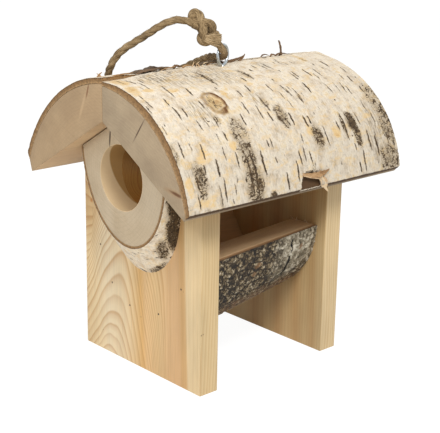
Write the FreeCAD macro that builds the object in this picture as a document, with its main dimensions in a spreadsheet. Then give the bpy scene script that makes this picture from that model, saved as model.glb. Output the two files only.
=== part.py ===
import FreeCAD, Part
import math
import os
import Sketcher

# A bird feeder house of two pine boards under a roof of two birch log slabs, with half a log between
# the boards as its trough, a slanted log slice round the entrance hole and a rope loop to hang it by.
# X runs across the boards, Y from front to back along the ridge, and Z up from the floor. The origin
# lies on the floor under the middle of the roof.

# Driving sizes in millimetres and degrees, with what each one is.
DRIVING_SIZES = [
    ("board_width", 145.0, "width of the two upright boards"),
    ("board_thickness", 18.0, "planed thickness of the boards"),
    ("board_gap", 117.5, "clear space between the boards, which is the length of the trough"),
    ("roof_length", 230.0, "length of the roof slabs along the ridge"),
    ("front_overhang", 36.0, "roof past the outer face of the front board"),
    ("roof_apex", 208.0, "height where the two sawn undersides of the roof meet"),
    ("roof_slope", 30.8, "slope of the sawn undersides"),
    ("seam_gap", 0.6, "dark gap between the slabs at the ridge"),
    ("bark_gap", 0.3, "gap where bark has dried away from its wood"),
    ("right_ridge_top", 238.6, "top of the right slab's bark at the ridge"),
    ("right_ridge_bark", 4.2, "its bark's thickness at the ridge"),
    ("right_bark_radius", 96.0, "outer radius of its bark"),
    ("right_wood_radius", 103.9, "radius of its wood under the bark"),
    ("right_tip", 93.2, "ridge to the tip of its underside"),
    ("right_wood_run", 1.8, "trimmed end of its wood, outwards from the tip"),
    ("right_wood_rise", 1.8, "trimmed end of its wood, upwards from the tip"),
    ("right_bark_run", 6.3, "trimmed end of its bark, outwards from the tip"),
    ("right_bark_rise", 5.8, "trimmed end of its bark, upwards from the tip"),
    ("left_ridge_top", 241.6, "top of the left slab's bark at the ridge"),
    ("left_ridge_bark", 5.7, "its bark's thickness at the ridge"),
    ("left_bark_radius", 120.4, "outer radius of its bark"),
    ("left_wood_radius", 113.5, "radius of its wood under the bark"),
    ("left_tip", 95.7, "ridge to the tip of its underside"),
    ("left_wood_run", 2.9, "trimmed end of its wood, outwards from the tip"),
    ("left_wood_rise", 9.4, "trimmed end of its wood, upwards from the tip"),
    ("left_bark_run", 6.4, "trimmed end of its bark, outwards from the tip"),
    ("left_bark_rise", 14.4, "trimmed end of its bark, upwards from the tip"),
    ("hole_diameter", 51.5, "entrance hole through the block and the front board"),
    ("hole_across", 3.0, "hole's centre from the middle of the board"),
    ("hole_height", 163.0, "height of the hole's centre"),
    ("block_thickness", 21.0, "thickness of the log slice round the hole"),
    ("block_minor", 51.0, "half the small width of the slice's outline, bark included"),
    ("block_major", 72.0, "half the large width, longer because the log was cut at a slant"),
    ("block_tilt", 11.5, "lean of the outline's long axis"),
    ("block_across", -3.0, "outline's centre on the board, across"),
    ("block_height", 154.8, "outline's centre on the board, up"),
    ("block_shift_across", 6.6, "how far the slant moves the outline across, from back to front"),
    ("block_shift_up", 25.3, "how far the slant moves it up"),
    ("block_bark", 2.6, "thickness of the bark round the slice"),
    ("block_top_gap", 1.2, "gap between the slice's gable and the roof"),
    ("near_log_radius", 73.2, "trough's log at the front board, bark included"),
    ("near_log_across", 0.0, "its centre there, across"),
    ("near_log_height", 101.2, "its centre there, up"),
    ("near_rim", 106.0, "height of the trough's rim there"),
    ("near_mouth", 86.6, "width of the hollow at the rim there"),
    ("near_floor", 64.0, "floor of the hollow there"),
    ("far_log_radius", 68.5, "trough's log at the back board, bark included"),
    ("far_log_across", -4.5, "its centre there, across"),
    ("far_log_height", 110.7, "its centre there, up"),
    ("far_rim", 109.5, "height of the trough's rim there"),
    ("far_mouth", 81.0, "width of the hollow at the rim there"),
    ("far_floor", 72.0, "floor of the hollow there"),
    ("hollow_slope", 56.0, "slope of the hollow's side walls"),
    ("trough_bark_thickness", 4.7, "thickness of the bark on the trough's log"),
    ("eye_wire", 2.4, "wire of the screw eye"),
    ("eye_outside", 18.5, "outside diameter of its ring"),
    ("eye_across", 6.0, "screw eye from the ridge seam, across"),
    ("eye_turn", 18.8, "how far its ring is turned from the line of the ridge"),
    ("eye_neck", 7.0, "plain neck below the ring"),
    ("eye_thread", 3.4, "diameter of the threaded part"),
    ("eye_thread_length", 17.0, "length of the threaded part"),
    ("eye_point", 4.0, "length of its point"),
    ("brad_wire", 1.6, "wire of the brads"),
    ("brad_head", 2.4, "diameter of a brad's head"),
    ("brad_head_thickness", 0.8, "thickness of a brad's head"),
    ("brad_proud", 0.1, "how far a head stands proud of the face it was driven through"),
    ("trough_brad_length", 45.0, "brads through the boards into the trough"),
    ("trough_brad_inset", 20.0, "those brads from the outside of the log"),
    ("roof_brad_length", 64.0, "brads through the roof slabs into the boards"),
    ("entrance_brad_length", 32.0, "brads through the front board into the slice"),
    ("entrance_brad_margin", 5.4, "those brads from the edge of the hole"),
    ("rope_diameter", 6.0, "jute rope"),
]

# Directions of the brads round the trough's log, in degrees from +X; they were driven by eye.
TROUGH_BRAD_ANGLES = [-170, -134, -105, -65, -22]

# Where the roof brads enter the top of a board, inwards from its edge, and their lean from upright.
ROOF_BRADS = [(4.8, 45.0), (24.5, 30.0)]

# Route of the rope: from the knot down past the screw eye's ring and back through it, over the left
# slab, round on the bark and up again in an arch to the knot.
ROPE_ROUTE = [
    (5.2, -9.6, 262.6),
    (9.7, -10.8, 259.2),
    (13.7, -7.2, 254.0),
    (10.4, -1.7, 248.0),
    (1.0, -0.9, 245.2),
    (-9.0, 2.5, 244.9),
    (-21.0, 7.5, 242.0),
    (-33.0, 11.0, 238.1),
    (-45.0, 10.8, 232.9),
    (-56.5, 6.5, 226.5),
    (-66.5, -2.0, 219.4),
    (-72.0, -15.0, 215.1),
    (-72.5, -30.0, 214.7),
    (-69.5, -45.0, 217.2),
    (-63.2, -57.3, 222.0),
    (-55.1, -67.0, 227.5),
    (-48.0, -73.0, 233.0),
    (-41.9, -74.7, 239.9),
    (-37.7, -73.5, 247.1),
    (-33.6, -68.8, 253.5),
    (-29.3, -62.0, 258.4),
    (-24.4, -55.2, 263.6),
    (-19.4, -48.4, 269.2),
    (-14.9, -41.7, 273.9),
    (-11.1, -34.8, 276.3),
    (-7.6, -28.1, 275.8),
    (-4.0, -22.2, 272.9),
]

# The knot's tight turns of rope: centre, axis and mean radius of each.
KNOT_TURNS = [
    ((6.3, -9.8, 260.3), (0.45, 0.10, 0.89), 3.2),
    ((-0.2, -15.7, 260.6), (-0.25, -0.35, 0.90), 3.0),
    ((2.6, -13.6, 270.7), (0.35, 0.20, 0.92), 3.9),
    ((-4.4, -21.2, 277.4), (0.93, 0.30, 0.14), 4.6),
]

FRONT_END = "(-Sizes.roof_length / 2)"
FRONT_FACE = "(Sizes.front_overhang - Sizes.roof_length / 2)"
FRONT_INNER = f"({FRONT_FACE} + Sizes.board_thickness)"
BACK_INNER = f"({FRONT_INNER} + Sizes.board_gap)"
BACK_FACE = f"({BACK_INNER} + Sizes.board_thickness)"

doc = FreeCAD.newDocument("BirdFeederHouse")
sizes = doc.addObject("Spreadsheet::Sheet", "Sizes")
for row, (alias, number, note) in enumerate(DRIVING_SIZES, start=1):
    sizes.set(f"A{row}", alias)
    sizes.set(f"B{row}", str(number))
    sizes.set(f"C{row}", note)
    sizes.setAlias(f"B{row}", alias)
doc.recompute()

pieces = []


def value(expression):
    """The number that an expression of the sheet's cells gives."""
    return float(sizes.evalExpression(expression))


def underside(across):
    """Expression for the height of the roof's sawn underside, this far from the ridge."""
    return f"(Sizes.roof_apex - ({across}) * tan(Sizes.roof_slope * 1 deg))"


def new_body(name):
    body = doc.addObject("PartDesign::Body", name)
    body.Label = name
    pieces.append(body)
    return body


def upright_sketch(body, name, y):
    """A sketch in the plane across the ridge at this y. Its x is X and its y is Z."""
    plane = next(f for f in body.Origin.OriginFeatures if f.Role == "XZ_Plane")
    sketch = body.newObject("Sketcher::SketchObject", name)
    sketch.AttachmentSupport = [(plane, "")]
    sketch.MapMode = "FlatFace"
    sketch.setExpression("AttachmentOffset.Base.z", f"-({y})")
    doc.recompute()
    return sketch


def tie(sketch, kind, elements, expression):
    """Adds a dimension whose size comes from the sheet."""
    index = sketch.addConstraint(Sketcher.Constraint(kind, *elements, value(expression)))
    sketch.setExpression(f"Constraints[{index}]", expression)


def arc_between(start, end, radius, side):
    """The short arc from start to end, with its centre on the left (1) or right (-1) of its chord."""
    chord = end - start
    half = chord.Length / 2
    across = FreeCAD.Vector(-chord.y, chord.x, 0).normalize()
    centre = (start + end) / 2 + across * (side * math.sqrt(radius**2 - half**2))
    first, last = (start, end) if side > 0 else (end, start)
    angles = [math.atan2(p.y - centre.y, p.x - centre.x) for p in (first, last)]
    circle = Part.Circle(centre, FreeCAD.Vector(0, 0, 1), radius)
    return Part.ArcOfCircle(circle, angles[0], angles[1])


def outline(sketch, corners, arcs=None):
    """Draws a closed outline. corners holds (x, z) expressions, and arcs gives the radius and the
    centre's side of each edge that is round, by the number of the corner that it starts from."""
    arcs = arcs or {}
    points = [FreeCAD.Vector(value(x), value(z), 0) for x, z in corners]
    ends = []
    for number, start in enumerate(points):
        end = points[(number + 1) % len(points)]
        if number in arcs:
            radius, side = arcs[number]
            edge = sketch.addGeometry(arc_between(start, end, value(radius), side))
            ends.append((edge, 1, 2) if side > 0 else (edge, 2, 1))
        else:
            edge = sketch.addGeometry(Part.LineSegment(start, end))
            ends.append((edge, 1, 2))
    for number, (edge, first, last) in enumerate(ends):
        after, after_first, _ = ends[(number + 1) % len(ends)]
        sketch.addConstraint(Sketcher.Constraint("Coincident", edge, last, after, after_first))
        tie(sketch, "DistanceX", (-1, 1, edge, first), corners[number][0])
        tie(sketch, "DistanceY", (-1, 1, edge, first), corners[number][1])
        if number in arcs:
            tie(sketch, "Radius", (edge,), arcs[number][0])


def ellipse(sketch, centre_x, centre_z, major, minor, lean):
    """Draws an ellipse whose long axis leans to the left of upright."""
    lean_x = f"sin({lean} * 1 deg)"
    lean_z = f"cos({lean} * 1 deg)"
    centre = FreeCAD.Vector(value(centre_x), value(centre_z), 0)
    along = FreeCAD.Vector(-value(lean_x), value(lean_z), 0)
    across = FreeCAD.Vector(-value(lean_z), -value(lean_x), 0)
    shape = Part.Ellipse(centre + along * value(major), centre + across * value(minor), centre)
    edge = sketch.addGeometry(shape)
    sketch.exposeInternalGeometry(edge)
    long_axis = edge + 1
    short_axis = edge + 2
    for point in (1, 2):
        sign = 1 if sketch.getPoint(long_axis, point).y > centre.y else -1
        tie(sketch, "DistanceX", (-1, 1, long_axis, point), f"{centre_x} - {sign} * {major} * {lean_x}")
        tie(sketch, "DistanceY", (-1, 1, long_axis, point), f"{centre_z} + {sign} * {major} * {lean_z}")
    tie(sketch, "Distance", (short_axis,), f"2 * {minor}")


def pad_back(body, name, sketch, length):
    """Pads a sketch towards +Y."""
    pad = body.newObject("PartDesign::Pad", name)
    pad.Profile = sketch
    pad.setExpression("Length", length)
    pad.Reversed = True
    return pad


def cut_through(body, name, sketch):
    """Cuts a sketch right through the body, both ways."""
    before = body.Shape.Volume
    pocket = body.newObject("PartDesign::Pocket", name)
    pocket.Profile = sketch
    pocket.Type = "ThroughAll"
    pocket.Midplane = True
    doc.recompute()
    if body.Shape.Volume >= before:
        raise RuntimeError(f"{name} cuts nothing")
    return pocket


def entrance_hole(body, y):
    """The round hole that the front board and the block share."""
    sketch = upright_sketch(body, f"{body.Name}_hole_circle", y)
    centre = FreeCAD.Vector(value("Sizes.hole_across"), value("Sizes.hole_height"), 0)
    radius = value("Sizes.hole_diameter / 2")
    edge = sketch.addGeometry(Part.Circle(centre, FreeCAD.Vector(0, 0, 1), radius))
    tie(sketch, "DistanceX", (-1, 1, edge, 3), "Sizes.hole_across")
    tie(sketch, "DistanceY", (-1, 1, edge, 3), "Sizes.hole_height")
    tie(sketch, "Diameter", (edge,), "Sizes.hole_diameter")
    cut_through(body, f"{body.Name}_hole", sketch)


def board(name, y):
    """An upright board whose gabled top carries the sawn undersides of the roof."""
    body = new_body(name)
    half = "Sizes.board_width / 2"
    sketch = upright_sketch(body, f"{name}_outline", y)
    corners = [
        (f"-{half}", "0"),
        (half, "0"),
        (half, underside(half)),
        ("0", "Sizes.roof_apex"),
        (f"-{half}", underside(half)),
    ]
    outline(sketch, corners)
    pad_back(body, f"{name}_plank", sketch, "Sizes.board_thickness")
    doc.recompute()
    return body


def slab_corners(side, name):
    """Corners of one roof slab's section: the seam, the tip and the ends of wood and bark."""
    sign = "-" if side < 0 else ""
    seam = f"{sign}Sizes.seam_gap / 2"
    tip_z = underside(f"Sizes.{name}_tip")
    return {
        "seam": seam,
        "apex": underside("Sizes.seam_gap / 2"),
        "tip": (f"{sign}Sizes.{name}_tip", tip_z),
        "wood_end": (
            f"{sign}(Sizes.{name}_tip + Sizes.{name}_wood_run)",
            f"{tip_z} + Sizes.{name}_wood_rise",
        ),
        "wood_top": f"Sizes.{name}_ridge_top - Sizes.{name}_ridge_bark",
        "bark_start": (
            f"{sign}(Sizes.{name}_tip + Sizes.{name}_wood_run + Sizes.bark_gap)",
            f"{tip_z} + Sizes.{name}_wood_rise + Sizes.bark_gap",
        ),
        "bark_end": (
            f"{sign}(Sizes.{name}_tip + Sizes.{name}_bark_run)",
            f"{tip_z} + Sizes.{name}_bark_rise",
        ),
        "bark_top": f"Sizes.{name}_ridge_top",
    }


def roof_slab(side, name):
    """The wood of one slab: sawn flat below and at the ridge, round under its bark."""
    place = slab_corners(side, name)
    body = new_body(f"roof_slab_{name}")
    sketch = upright_sketch(body, f"slab_{name}_section", FRONT_END)
    corners = [
        (place["seam"], place["apex"]),
        place["tip"],
        place["wood_end"],
        (place["seam"], place["wood_top"]),
    ]
    outline(sketch, corners, {2: (f"Sizes.{name}_wood_radius", side)})
    pad_back(body, f"slab_{name}_length", sketch, "Sizes.roof_length")
    doc.recompute()
    return body


def roof_bark(side, name):
    """The bark of one slab, a curved skin that is thickest half way down."""
    place = slab_corners(side, name)
    body = new_body(f"roof_bark_{name}")
    sketch = upright_sketch(body, f"bark_{name}_section", FRONT_END)
    corners = [
        place["bark_start"],
        place["bark_end"],
        (place["seam"], place["bark_top"]),
        (place["seam"], f"{place['wood_top']} + Sizes.bark_gap"),
    ]
    arcs = {
        1: (f"Sizes.{name}_bark_radius", side),
        3: (f"(Sizes.{name}_wood_radius + Sizes.bark_gap)", -side),
    }
    outline(sketch, corners, arcs)
    pad_back(body, f"bark_{name}_length", sketch, "Sizes.roof_length")
    doc.recompute()
    return body


def slanted_pad(body, name, sketch):
    """Pads a sketch forwards from the front board, along the slant of the log it was cut from."""
    pad = body.newObject("PartDesign::Pad", name)
    pad.Profile = sketch
    pad.UseCustomVector = True
    pad.setExpression("Direction.x", "Sizes.block_shift_across")
    pad.setExpression("Direction.y", "-Sizes.block_thickness")
    pad.setExpression("Direction.z", "Sizes.block_shift_up")
    pad.AlongSketchNormal = True
    pad.setExpression("Length", "Sizes.block_thickness")
    doc.recompute()
    return pad


def gable_cut(body):
    """Cuts away what would stand above the roof's undersides."""
    half = "(Sizes.board_width)"
    sketch = upright_sketch(body, f"{body.Name}_gable_outline", FRONT_FACE)
    top = "(2 * Sizes.roof_apex)"
    corners = [
        (f"-{half}", f"{underside(half)} - Sizes.block_top_gap"),
        ("0", "Sizes.roof_apex - Sizes.block_top_gap"),
        (half, f"{underside(half)} - Sizes.block_top_gap"),
        (half, top),
        (f"-{half}", top),
    ]
    outline(sketch, corners)
    cut_through(body, f"{body.Name}_gable", sketch)


def block_ellipse(sketch, inset):
    """The slice's outline, this far inside its bark."""
    ellipse(
        sketch,
        "Sizes.block_across",
        "Sizes.block_height",
        f"(Sizes.block_major - {inset})",
        f"(Sizes.block_minor - {inset})",
        "Sizes.block_tilt",
    )


def entrance_block():
    """A slice of a log that was cut at a slant, so that its outline is an ellipse."""
    body = new_body("entrance_block")
    sketch = upright_sketch(body, "block_outline", FRONT_FACE)
    block_ellipse(sketch, "(Sizes.block_bark + Sizes.bark_gap)")
    slanted_pad(body, "block_slice", sketch)
    gable_cut(body)
    entrance_hole(body, FRONT_FACE)
    return body


def entrance_bark():
    """The bark round the slice, open under the roof."""
    body = new_body("entrance_bark")
    sketch = upright_sketch(body, "bark_ring_outline", FRONT_FACE)
    block_ellipse(sketch, "0")
    block_ellipse(sketch, "Sizes.block_bark")
    slanted_pad(body, "bark_ring", sketch)
    gable_cut(body)
    return body


def log_point(end, radius, angle):
    """Expressions for a point on the trough's log at one end, this far round it."""
    x = f"Sizes.{end}_log_across + {radius} * cos({angle} * 1 deg)"
    z = f"Sizes.{end}_log_height + {radius} * sin({angle} * 1 deg)"
    return x, z


def rim_point(end, radius, sign):
    """Expressions for the point where the log's outline meets the sawn rim."""
    reach = f"sqrt({radius}^2 - (Sizes.{end}_rim - Sizes.{end}_log_height)^2)"
    return f"Sizes.{end}_log_across {sign} {reach}", f"Sizes.{end}_rim"


def half_log_sketch(body, end, y):
    """The wood of the half log at one end: its sawn rim and two arcs that meet at the bottom."""
    radius = "(Sizes.{}_log_radius - Sizes.trough_bark_thickness - Sizes.bark_gap)".format(end)
    sketch = upright_sketch(body, f"trough_{end}_section", y)
    corners = [
        rim_point(end, radius, "-"),
        log_point(end, radius, -90),
        rim_point(end, radius, "+"),
    ]
    outline(sketch, corners, {0: (radius, 1), 1: (radius, 1)})
    return sketch


def hollow_sketch(body, end, y):
    """The hollow at one end, wider at its mouth than at its floor and open at the rim."""
    sketch = upright_sketch(body, f"hollow_{end}_section", y)
    mouth = f"Sizes.{end}_mouth / 2"
    depth = f"(Sizes.{end}_rim - Sizes.{end}_floor)"
    floor = f"({mouth} - {depth} / tan(Sizes.hollow_slope * 1 deg))"
    above = f"({mouth} + {depth} / tan(Sizes.hollow_slope * 1 deg))"
    top = f"(Sizes.{end}_rim + {depth})"
    centre = f"Sizes.{end}_log_across"
    corners = [
        (f"{centre} - {floor}", f"Sizes.{end}_floor"),
        (f"{centre} + {floor}", f"Sizes.{end}_floor"),
        (f"{centre} + {above}", top),
        (f"{centre} - {above}", top),
    ]
    outline(sketch, corners)
    return sketch


def loft(body, kind, name, near, far):
    feature = body.newObject(kind, name)
    feature.Profile = near
    feature.Sections = [far]
    feature.Ruled = True
    doc.recompute()
    return feature


def feed_trough():
    """Half a tapered log between the boards, with a hollow along its whole length."""
    body = new_body("feed_trough")
    near = half_log_sketch(body, "near", FRONT_INNER)
    far = half_log_sketch(body, "far", BACK_INNER)
    loft(body, "PartDesign::AdditiveLoft", "half_log", near, far)
    solid_volume = body.Shape.Volume
    near_hollow = hollow_sketch(body, "near", FRONT_INNER)
    far_hollow = hollow_sketch(body, "far", BACK_INNER)
    loft(body, "PartDesign::SubtractiveLoft", "hollow", near_hollow, far_hollow)
    if body.Shape.Volume >= solid_volume:
        raise RuntimeError("the trough's hollow cuts nothing")
    return body


def bark_ring_sketch(body, end, y):
    """The bark of the half log at one end, from rim to rim."""
    outer = f"Sizes.{end}_log_radius"
    inner = f"(Sizes.{end}_log_radius - Sizes.trough_bark_thickness)"
    sketch = upright_sketch(body, f"trough_bark_{end}_section", y)
    corners = [
        rim_point(end, outer, "-"),
        log_point(end, outer, -90),
        rim_point(end, outer, "+"),
        rim_point(end, inner, "+"),
        log_point(end, inner, -90),
        rim_point(end, inner, "-"),
    ]
    arcs = {0: (outer, 1), 1: (outer, 1), 3: (inner, -1), 4: (inner, -1)}
    outline(sketch, corners, arcs)
    return sketch


def trough_bark():
    body = new_body("trough_bark")
    near = bark_ring_sketch(body, "near", FRONT_INNER)
    far = bark_ring_sketch(body, "far", BACK_INNER)
    loft(body, "PartDesign::AdditiveLoft", "bark_skin", near, far)
    return body


def primitive(kind, name, bound):
    """A primitive whose properties are bound to expressions."""
    feature = doc.addObject(kind, name)
    for property_name, expression in bound.items():
        feature.setExpression(property_name, expression)
    return feature


def screw_eye():
    """A ring of wire on a threaded shank, screwed into the right slab beside the ridge."""
    ring_z = "(Sizes.right_ridge_top + Sizes.eye_outside / 2)"
    neck_z = f"({ring_z} - (Sizes.eye_outside - Sizes.eye_wire) / 2 - Sizes.eye_neck)"
    thread_z = f"({neck_z} - Sizes.eye_thread_length)"
    ring = primitive(
        "Part::Torus",
        "eye_ring",
        {"Radius1": "(Sizes.eye_outside - Sizes.eye_wire) / 2", "Radius2": "Sizes.eye_wire / 2"},
    )
    turn = FreeCAD.Rotation(FreeCAD.Vector(0, 0, 1), value("Sizes.eye_turn"))
    stand = FreeCAD.Rotation(FreeCAD.Vector(0, 1, 0), 90)
    ring.Placement = FreeCAD.Placement(FreeCAD.Vector(), turn.multiply(stand))
    ring.setExpression("Placement.Base.x", "Sizes.eye_across")
    ring.setExpression("Placement.Base.z", ring_z)
    neck = primitive(
        "Part::Cylinder", "eye_neck", {"Radius": "Sizes.eye_wire / 2", "Height": "Sizes.eye_neck"}
    )
    thread = primitive(
        "Part::Cylinder",
        "eye_thread",
        {"Radius": "Sizes.eye_thread / 2", "Height": "Sizes.eye_thread_length"},
    )
    point = primitive(
        "Part::Cone",
        "eye_point",
        {
            "Radius1": "Sizes.eye_wire / 12",
            "Radius2": "Sizes.eye_thread / 2",
            "Height": "Sizes.eye_point",
        },
    )
    levels = [(neck, neck_z), (thread, thread_z), (point, f"({thread_z} - Sizes.eye_point)")]
    for feature, level in levels:
        feature.setExpression("Placement.Base.x", "Sizes.eye_across")
        feature.setExpression("Placement.Base.z", level)
    whole = doc.addObject("Part::MultiFuse", "screw_eye")
    whole.Shapes = [ring, neck, thread, point]
    whole.Label = "screw_eye"
    pieces.append(whole)
    doc.recompute()
    return whole


def brad(name, head_point, inwards, length):
    """One brad, its head at head_point, driven along inwards."""
    turn = FreeCAD.Rotation(FreeCAD.Vector(0, 0, 1), inwards)
    place = FreeCAD.Placement(head_point, turn)
    wire = primitive(
        "Part::Cylinder", f"{name}_wire", {"Radius": "Sizes.brad_wire / 2", "Height": length}
    )
    head = primitive(
        "Part::Cylinder",
        f"{name}_head",
        {"Radius": "Sizes.brad_head / 2", "Height": "Sizes.brad_head_thickness"},
    )
    wire.Placement = place
    head.Placement = place
    whole = doc.addObject("Part::Fuse", name)
    whole.Base = wire
    whole.Tool = head
    return whole


def group(name, members):
    """Like fasteners that share one name."""
    compound = doc.addObject("Part::Compound", name)
    compound.Links = members
    compound.Label = name
    pieces.append(compound)
    doc.recompute()
    return compound


def trough_brads(name, end, face, direction):
    """Brads through one board into the end of the trough, in a U round its hollow."""
    radius = f"(Sizes.{end}_log_radius - Sizes.trough_brad_inset)"
    members = []
    for number, angle in enumerate(TROUGH_BRAD_ANGLES, start=1):
        x, z = log_point(end, radius, angle)
        y = value(face) - direction * value("Sizes.brad_proud")
        head_point = FreeCAD.Vector(value(x), y, value(z))
        inwards = FreeCAD.Vector(0, direction, 0)
        members.append(brad(f"{name}_{number}", head_point, inwards, "Sizes.trough_brad_length"))
    return group(name, members)


def bark_crossing(side, name, foot, outwards):
    """How far it is from a point on the underside to the outside of the bark, along a line."""
    place = slab_corners(side, name)
    end = FreeCAD.Vector(value(place["bark_end"][0]), value(place["bark_end"][1]), 0)
    top = FreeCAD.Vector(value(place["seam"]), value(place["bark_top"]), 0)
    radius = value(f"Sizes.{name}_bark_radius")
    centre = arc_between(end, top, radius, side).Center
    offset = FreeCAD.Vector(foot.x - centre.x, foot.z - centre.y, 0)
    along = FreeCAD.Vector(outwards.x, outwards.z, 0)
    half = offset.dot(along)
    return -half + math.sqrt(half**2 - offset.dot(offset) + radius**2)


def roof_brads(side, name):
    """Brads through one slab into the tops of both boards."""
    middles = [
        f"{FRONT_FACE} + Sizes.board_thickness / 2",
        f"{BACK_FACE} - Sizes.board_thickness / 2",
    ]
    members = []
    for y in middles:
        for inset, lean in ROOF_BRADS:
            across = f"(Sizes.board_width / 2 - {inset})"
            foot = FreeCAD.Vector(side * value(across), value(y), value(underside(across)))
            lean = math.radians(lean)
            outwards = FreeCAD.Vector(side * math.sin(lean), 0, math.cos(lean))
            reach = bark_crossing(side, name, foot, outwards) + value("Sizes.brad_proud")
            number = len(members) + 1
            head_point = foot + outwards * reach
            members.append(
                brad(f"{name}_roof_brad_{number}", head_point, -outwards, "Sizes.roof_brad_length")
            )
    return group(f"{name}_roof_brads", members)


def entrance_brads():
    """Brads through the front board from inside, into the slice on its outer face."""
    members = []
    y = value(FRONT_INNER) + value("Sizes.brad_proud")
    offset = value("Sizes.hole_diameter / 2 + Sizes.entrance_brad_margin") * math.sqrt(0.5)
    for across in (-1, 1):
        for up in (-1, 1):
            x = value("Sizes.hole_across") + across * offset
            z = value("Sizes.hole_height") + up * offset
            number = len(members) + 1
            head_point = FreeCAD.Vector(x, y, z)
            inwards = FreeCAD.Vector(0, -1, 0)
            members.append(
                brad(f"entrance_brad_{number}", head_point, inwards, "Sizes.entrance_brad_length")
            )
    return group("entrance_brads", members)


def rounded_route(points):
    """Straight runs joined by tangent arcs, each as large as its two runs allow."""
    points = [FreeCAD.Vector(*p) for p in points]
    edges = []
    radii = []
    start = points[0]
    for before, corner, after in zip(points, points[1:], points[2:]):
        inwards = (before - corner).normalize()
        outwards = (after - corner).normalize()
        half_turn = (math.pi - inwards.getAngle(outwards)) / 2
        trim = 0.45 * min((before - corner).Length, (after - corner).Length)
        radius = trim / math.tan(half_turn)
        first = corner + inwards * trim
        last = corner + outwards * trim
        middle_way = (inwards + outwards).normalize()
        middle = corner + middle_way * (radius / math.cos(half_turn) - radius)
        edges.append(Part.LineSegment(start, first).toShape())
        edges.append(Part.Arc(first, middle, last).toShape())
        radii.append(radius)
        start = last
    edges.append(Part.LineSegment(start, points[-1]).toShape())
    print("rope radii", [round(r, 1) for r in radii])
    return Part.Wire(edges)


def hanging_rope():
    """The rope loop outside the knot."""
    route = rounded_route(ROPE_ROUTE)
    radius = value("Sizes.rope_diameter / 2")
    start = FreeCAD.Vector(*ROPE_ROUTE[0])
    direction = FreeCAD.Vector(*ROPE_ROUTE[1]) - start
    section = Part.Wire(Part.Circle(start, direction, radius).toShape())
    rope = doc.addObject("Part::Feature", "hanging_rope")
    rope.Label = "hanging_rope"
    rope.Shape = route.makePipeShell([section], True, False)
    expected = math.pi * radius**2 * route.Length
    print("rope length", round(route.Length, 1), "volume share", rope.Shape.Volume / expected)
    pieces.append(rope)
    return rope


def rope_knot():
    """The knot that closes the loop: tight turns of rope, filled by the strand inside them."""
    members = []
    for number, (centre, axis, radius) in enumerate(KNOT_TURNS, start=1):
        place = FreeCAD.Placement(
            FreeCAD.Vector(*centre), FreeCAD.Rotation(FreeCAD.Vector(0, 0, 1), FreeCAD.Vector(*axis))
        )
        turn = primitive("Part::Torus", f"knot_turn_{number}", {"Radius2": "Sizes.rope_diameter / 2"})
        turn.Radius1 = radius
        turn.Placement = place
        members.append(turn)
    centres = [FreeCAD.Vector(*centre) for centre, _, _ in KNOT_TURNS]
    for number, (start, end) in enumerate(zip(centres, centres[1:]), start=1):
        core = primitive("Part::Cylinder", f"knot_core_{number}", {"Radius": "Sizes.rope_diameter / 2"})
        along = end - start
        reach = value("Sizes.rope_diameter / 2")
        core.Height = along.Length + 2 * reach
        direction = FreeCAD.Vector(along).normalize()
        turn = FreeCAD.Rotation(FreeCAD.Vector(0, 0, 1), direction)
        core.Placement = FreeCAD.Placement(start - direction * reach, turn)
        members.append(core)
    knot = doc.addObject("Part::MultiFuse", "rope_knot")
    knot.Shapes = members
    knot.Label = "rope_knot"
    pieces.append(knot)
    doc.recompute()
    return knot


def check_all():
    """Stops on anything that failed to compute."""
    doc.recompute()
    for item in doc.Objects:
        if "Invalid" in item.State or "Error" in item.State:
            raise RuntimeError(f"{item.Name} is {item.State}")
    for piece in pieces:
        if piece.Shape.isNull() or not piece.Shape.isValid() or not piece.Shape.Solids:
            raise RuntimeError(f"{piece.Label} has no valid solid")


def write_parts():
    os.makedirs("parts", exist_ok=True)
    for piece in pieces:
        piece.Shape.exportStep(f"parts/{piece.Label}.step")
        box = piece.Shape.BoundBox
        print(
            piece.Label,
            len(piece.Shape.Solids),
            "solids",
            [round(v, 1) for v in (box.XMin, box.XMax, box.YMin, box.YMax, box.ZMin, box.ZMax)],
        )


front_board = board("front_board", FRONT_FACE)
entrance_hole(front_board, FRONT_FACE)
board("back_board", BACK_INNER)
for side, name in ((-1, "left"), (1, "right")):
    roof_slab(side, name)
    roof_bark(side, name)
    roof_brads(side, name)
entrance_block()
entrance_bark()
entrance_brads()
feed_trough()
trough_bark()
trough_brads("front_trough_brads", "near", FRONT_FACE, 1)
trough_brads("back_trough_brads", "far", BACK_FACE, -1)
screw_eye()
hanging_rope()
rope_knot()
check_all()
write_parts()
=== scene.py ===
import math
import random

import bpy
import numpy as np
from mathutils import Matrix, Vector, noise


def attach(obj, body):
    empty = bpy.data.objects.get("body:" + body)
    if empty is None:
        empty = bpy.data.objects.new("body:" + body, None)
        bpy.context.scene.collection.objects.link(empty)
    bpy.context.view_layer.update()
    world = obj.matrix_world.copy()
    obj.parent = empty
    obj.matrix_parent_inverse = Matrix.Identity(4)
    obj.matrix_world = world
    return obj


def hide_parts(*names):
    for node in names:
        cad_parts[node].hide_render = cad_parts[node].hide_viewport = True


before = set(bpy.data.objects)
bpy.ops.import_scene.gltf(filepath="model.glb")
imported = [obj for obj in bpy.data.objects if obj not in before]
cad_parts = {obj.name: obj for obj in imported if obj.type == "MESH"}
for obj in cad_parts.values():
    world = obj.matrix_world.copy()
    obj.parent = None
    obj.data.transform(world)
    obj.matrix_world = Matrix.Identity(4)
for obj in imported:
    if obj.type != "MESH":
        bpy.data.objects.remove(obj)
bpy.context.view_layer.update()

# The feeder stands on a white floor that runs out of sight, under two large soft lamps, one from the
# right and one from the front, and an even white sky. Sizes below are millimetres, turned to
# Blender's metres by MM where a mesh is made.
MM = 0.001
LAMPS = [
    ("softbox_right", (0.67, -0.39, 0.93), 0.36, 12.3),
    ("softbox_front", (0.53, -1.0, 0.85), 0.24, 5.4),
]
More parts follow.
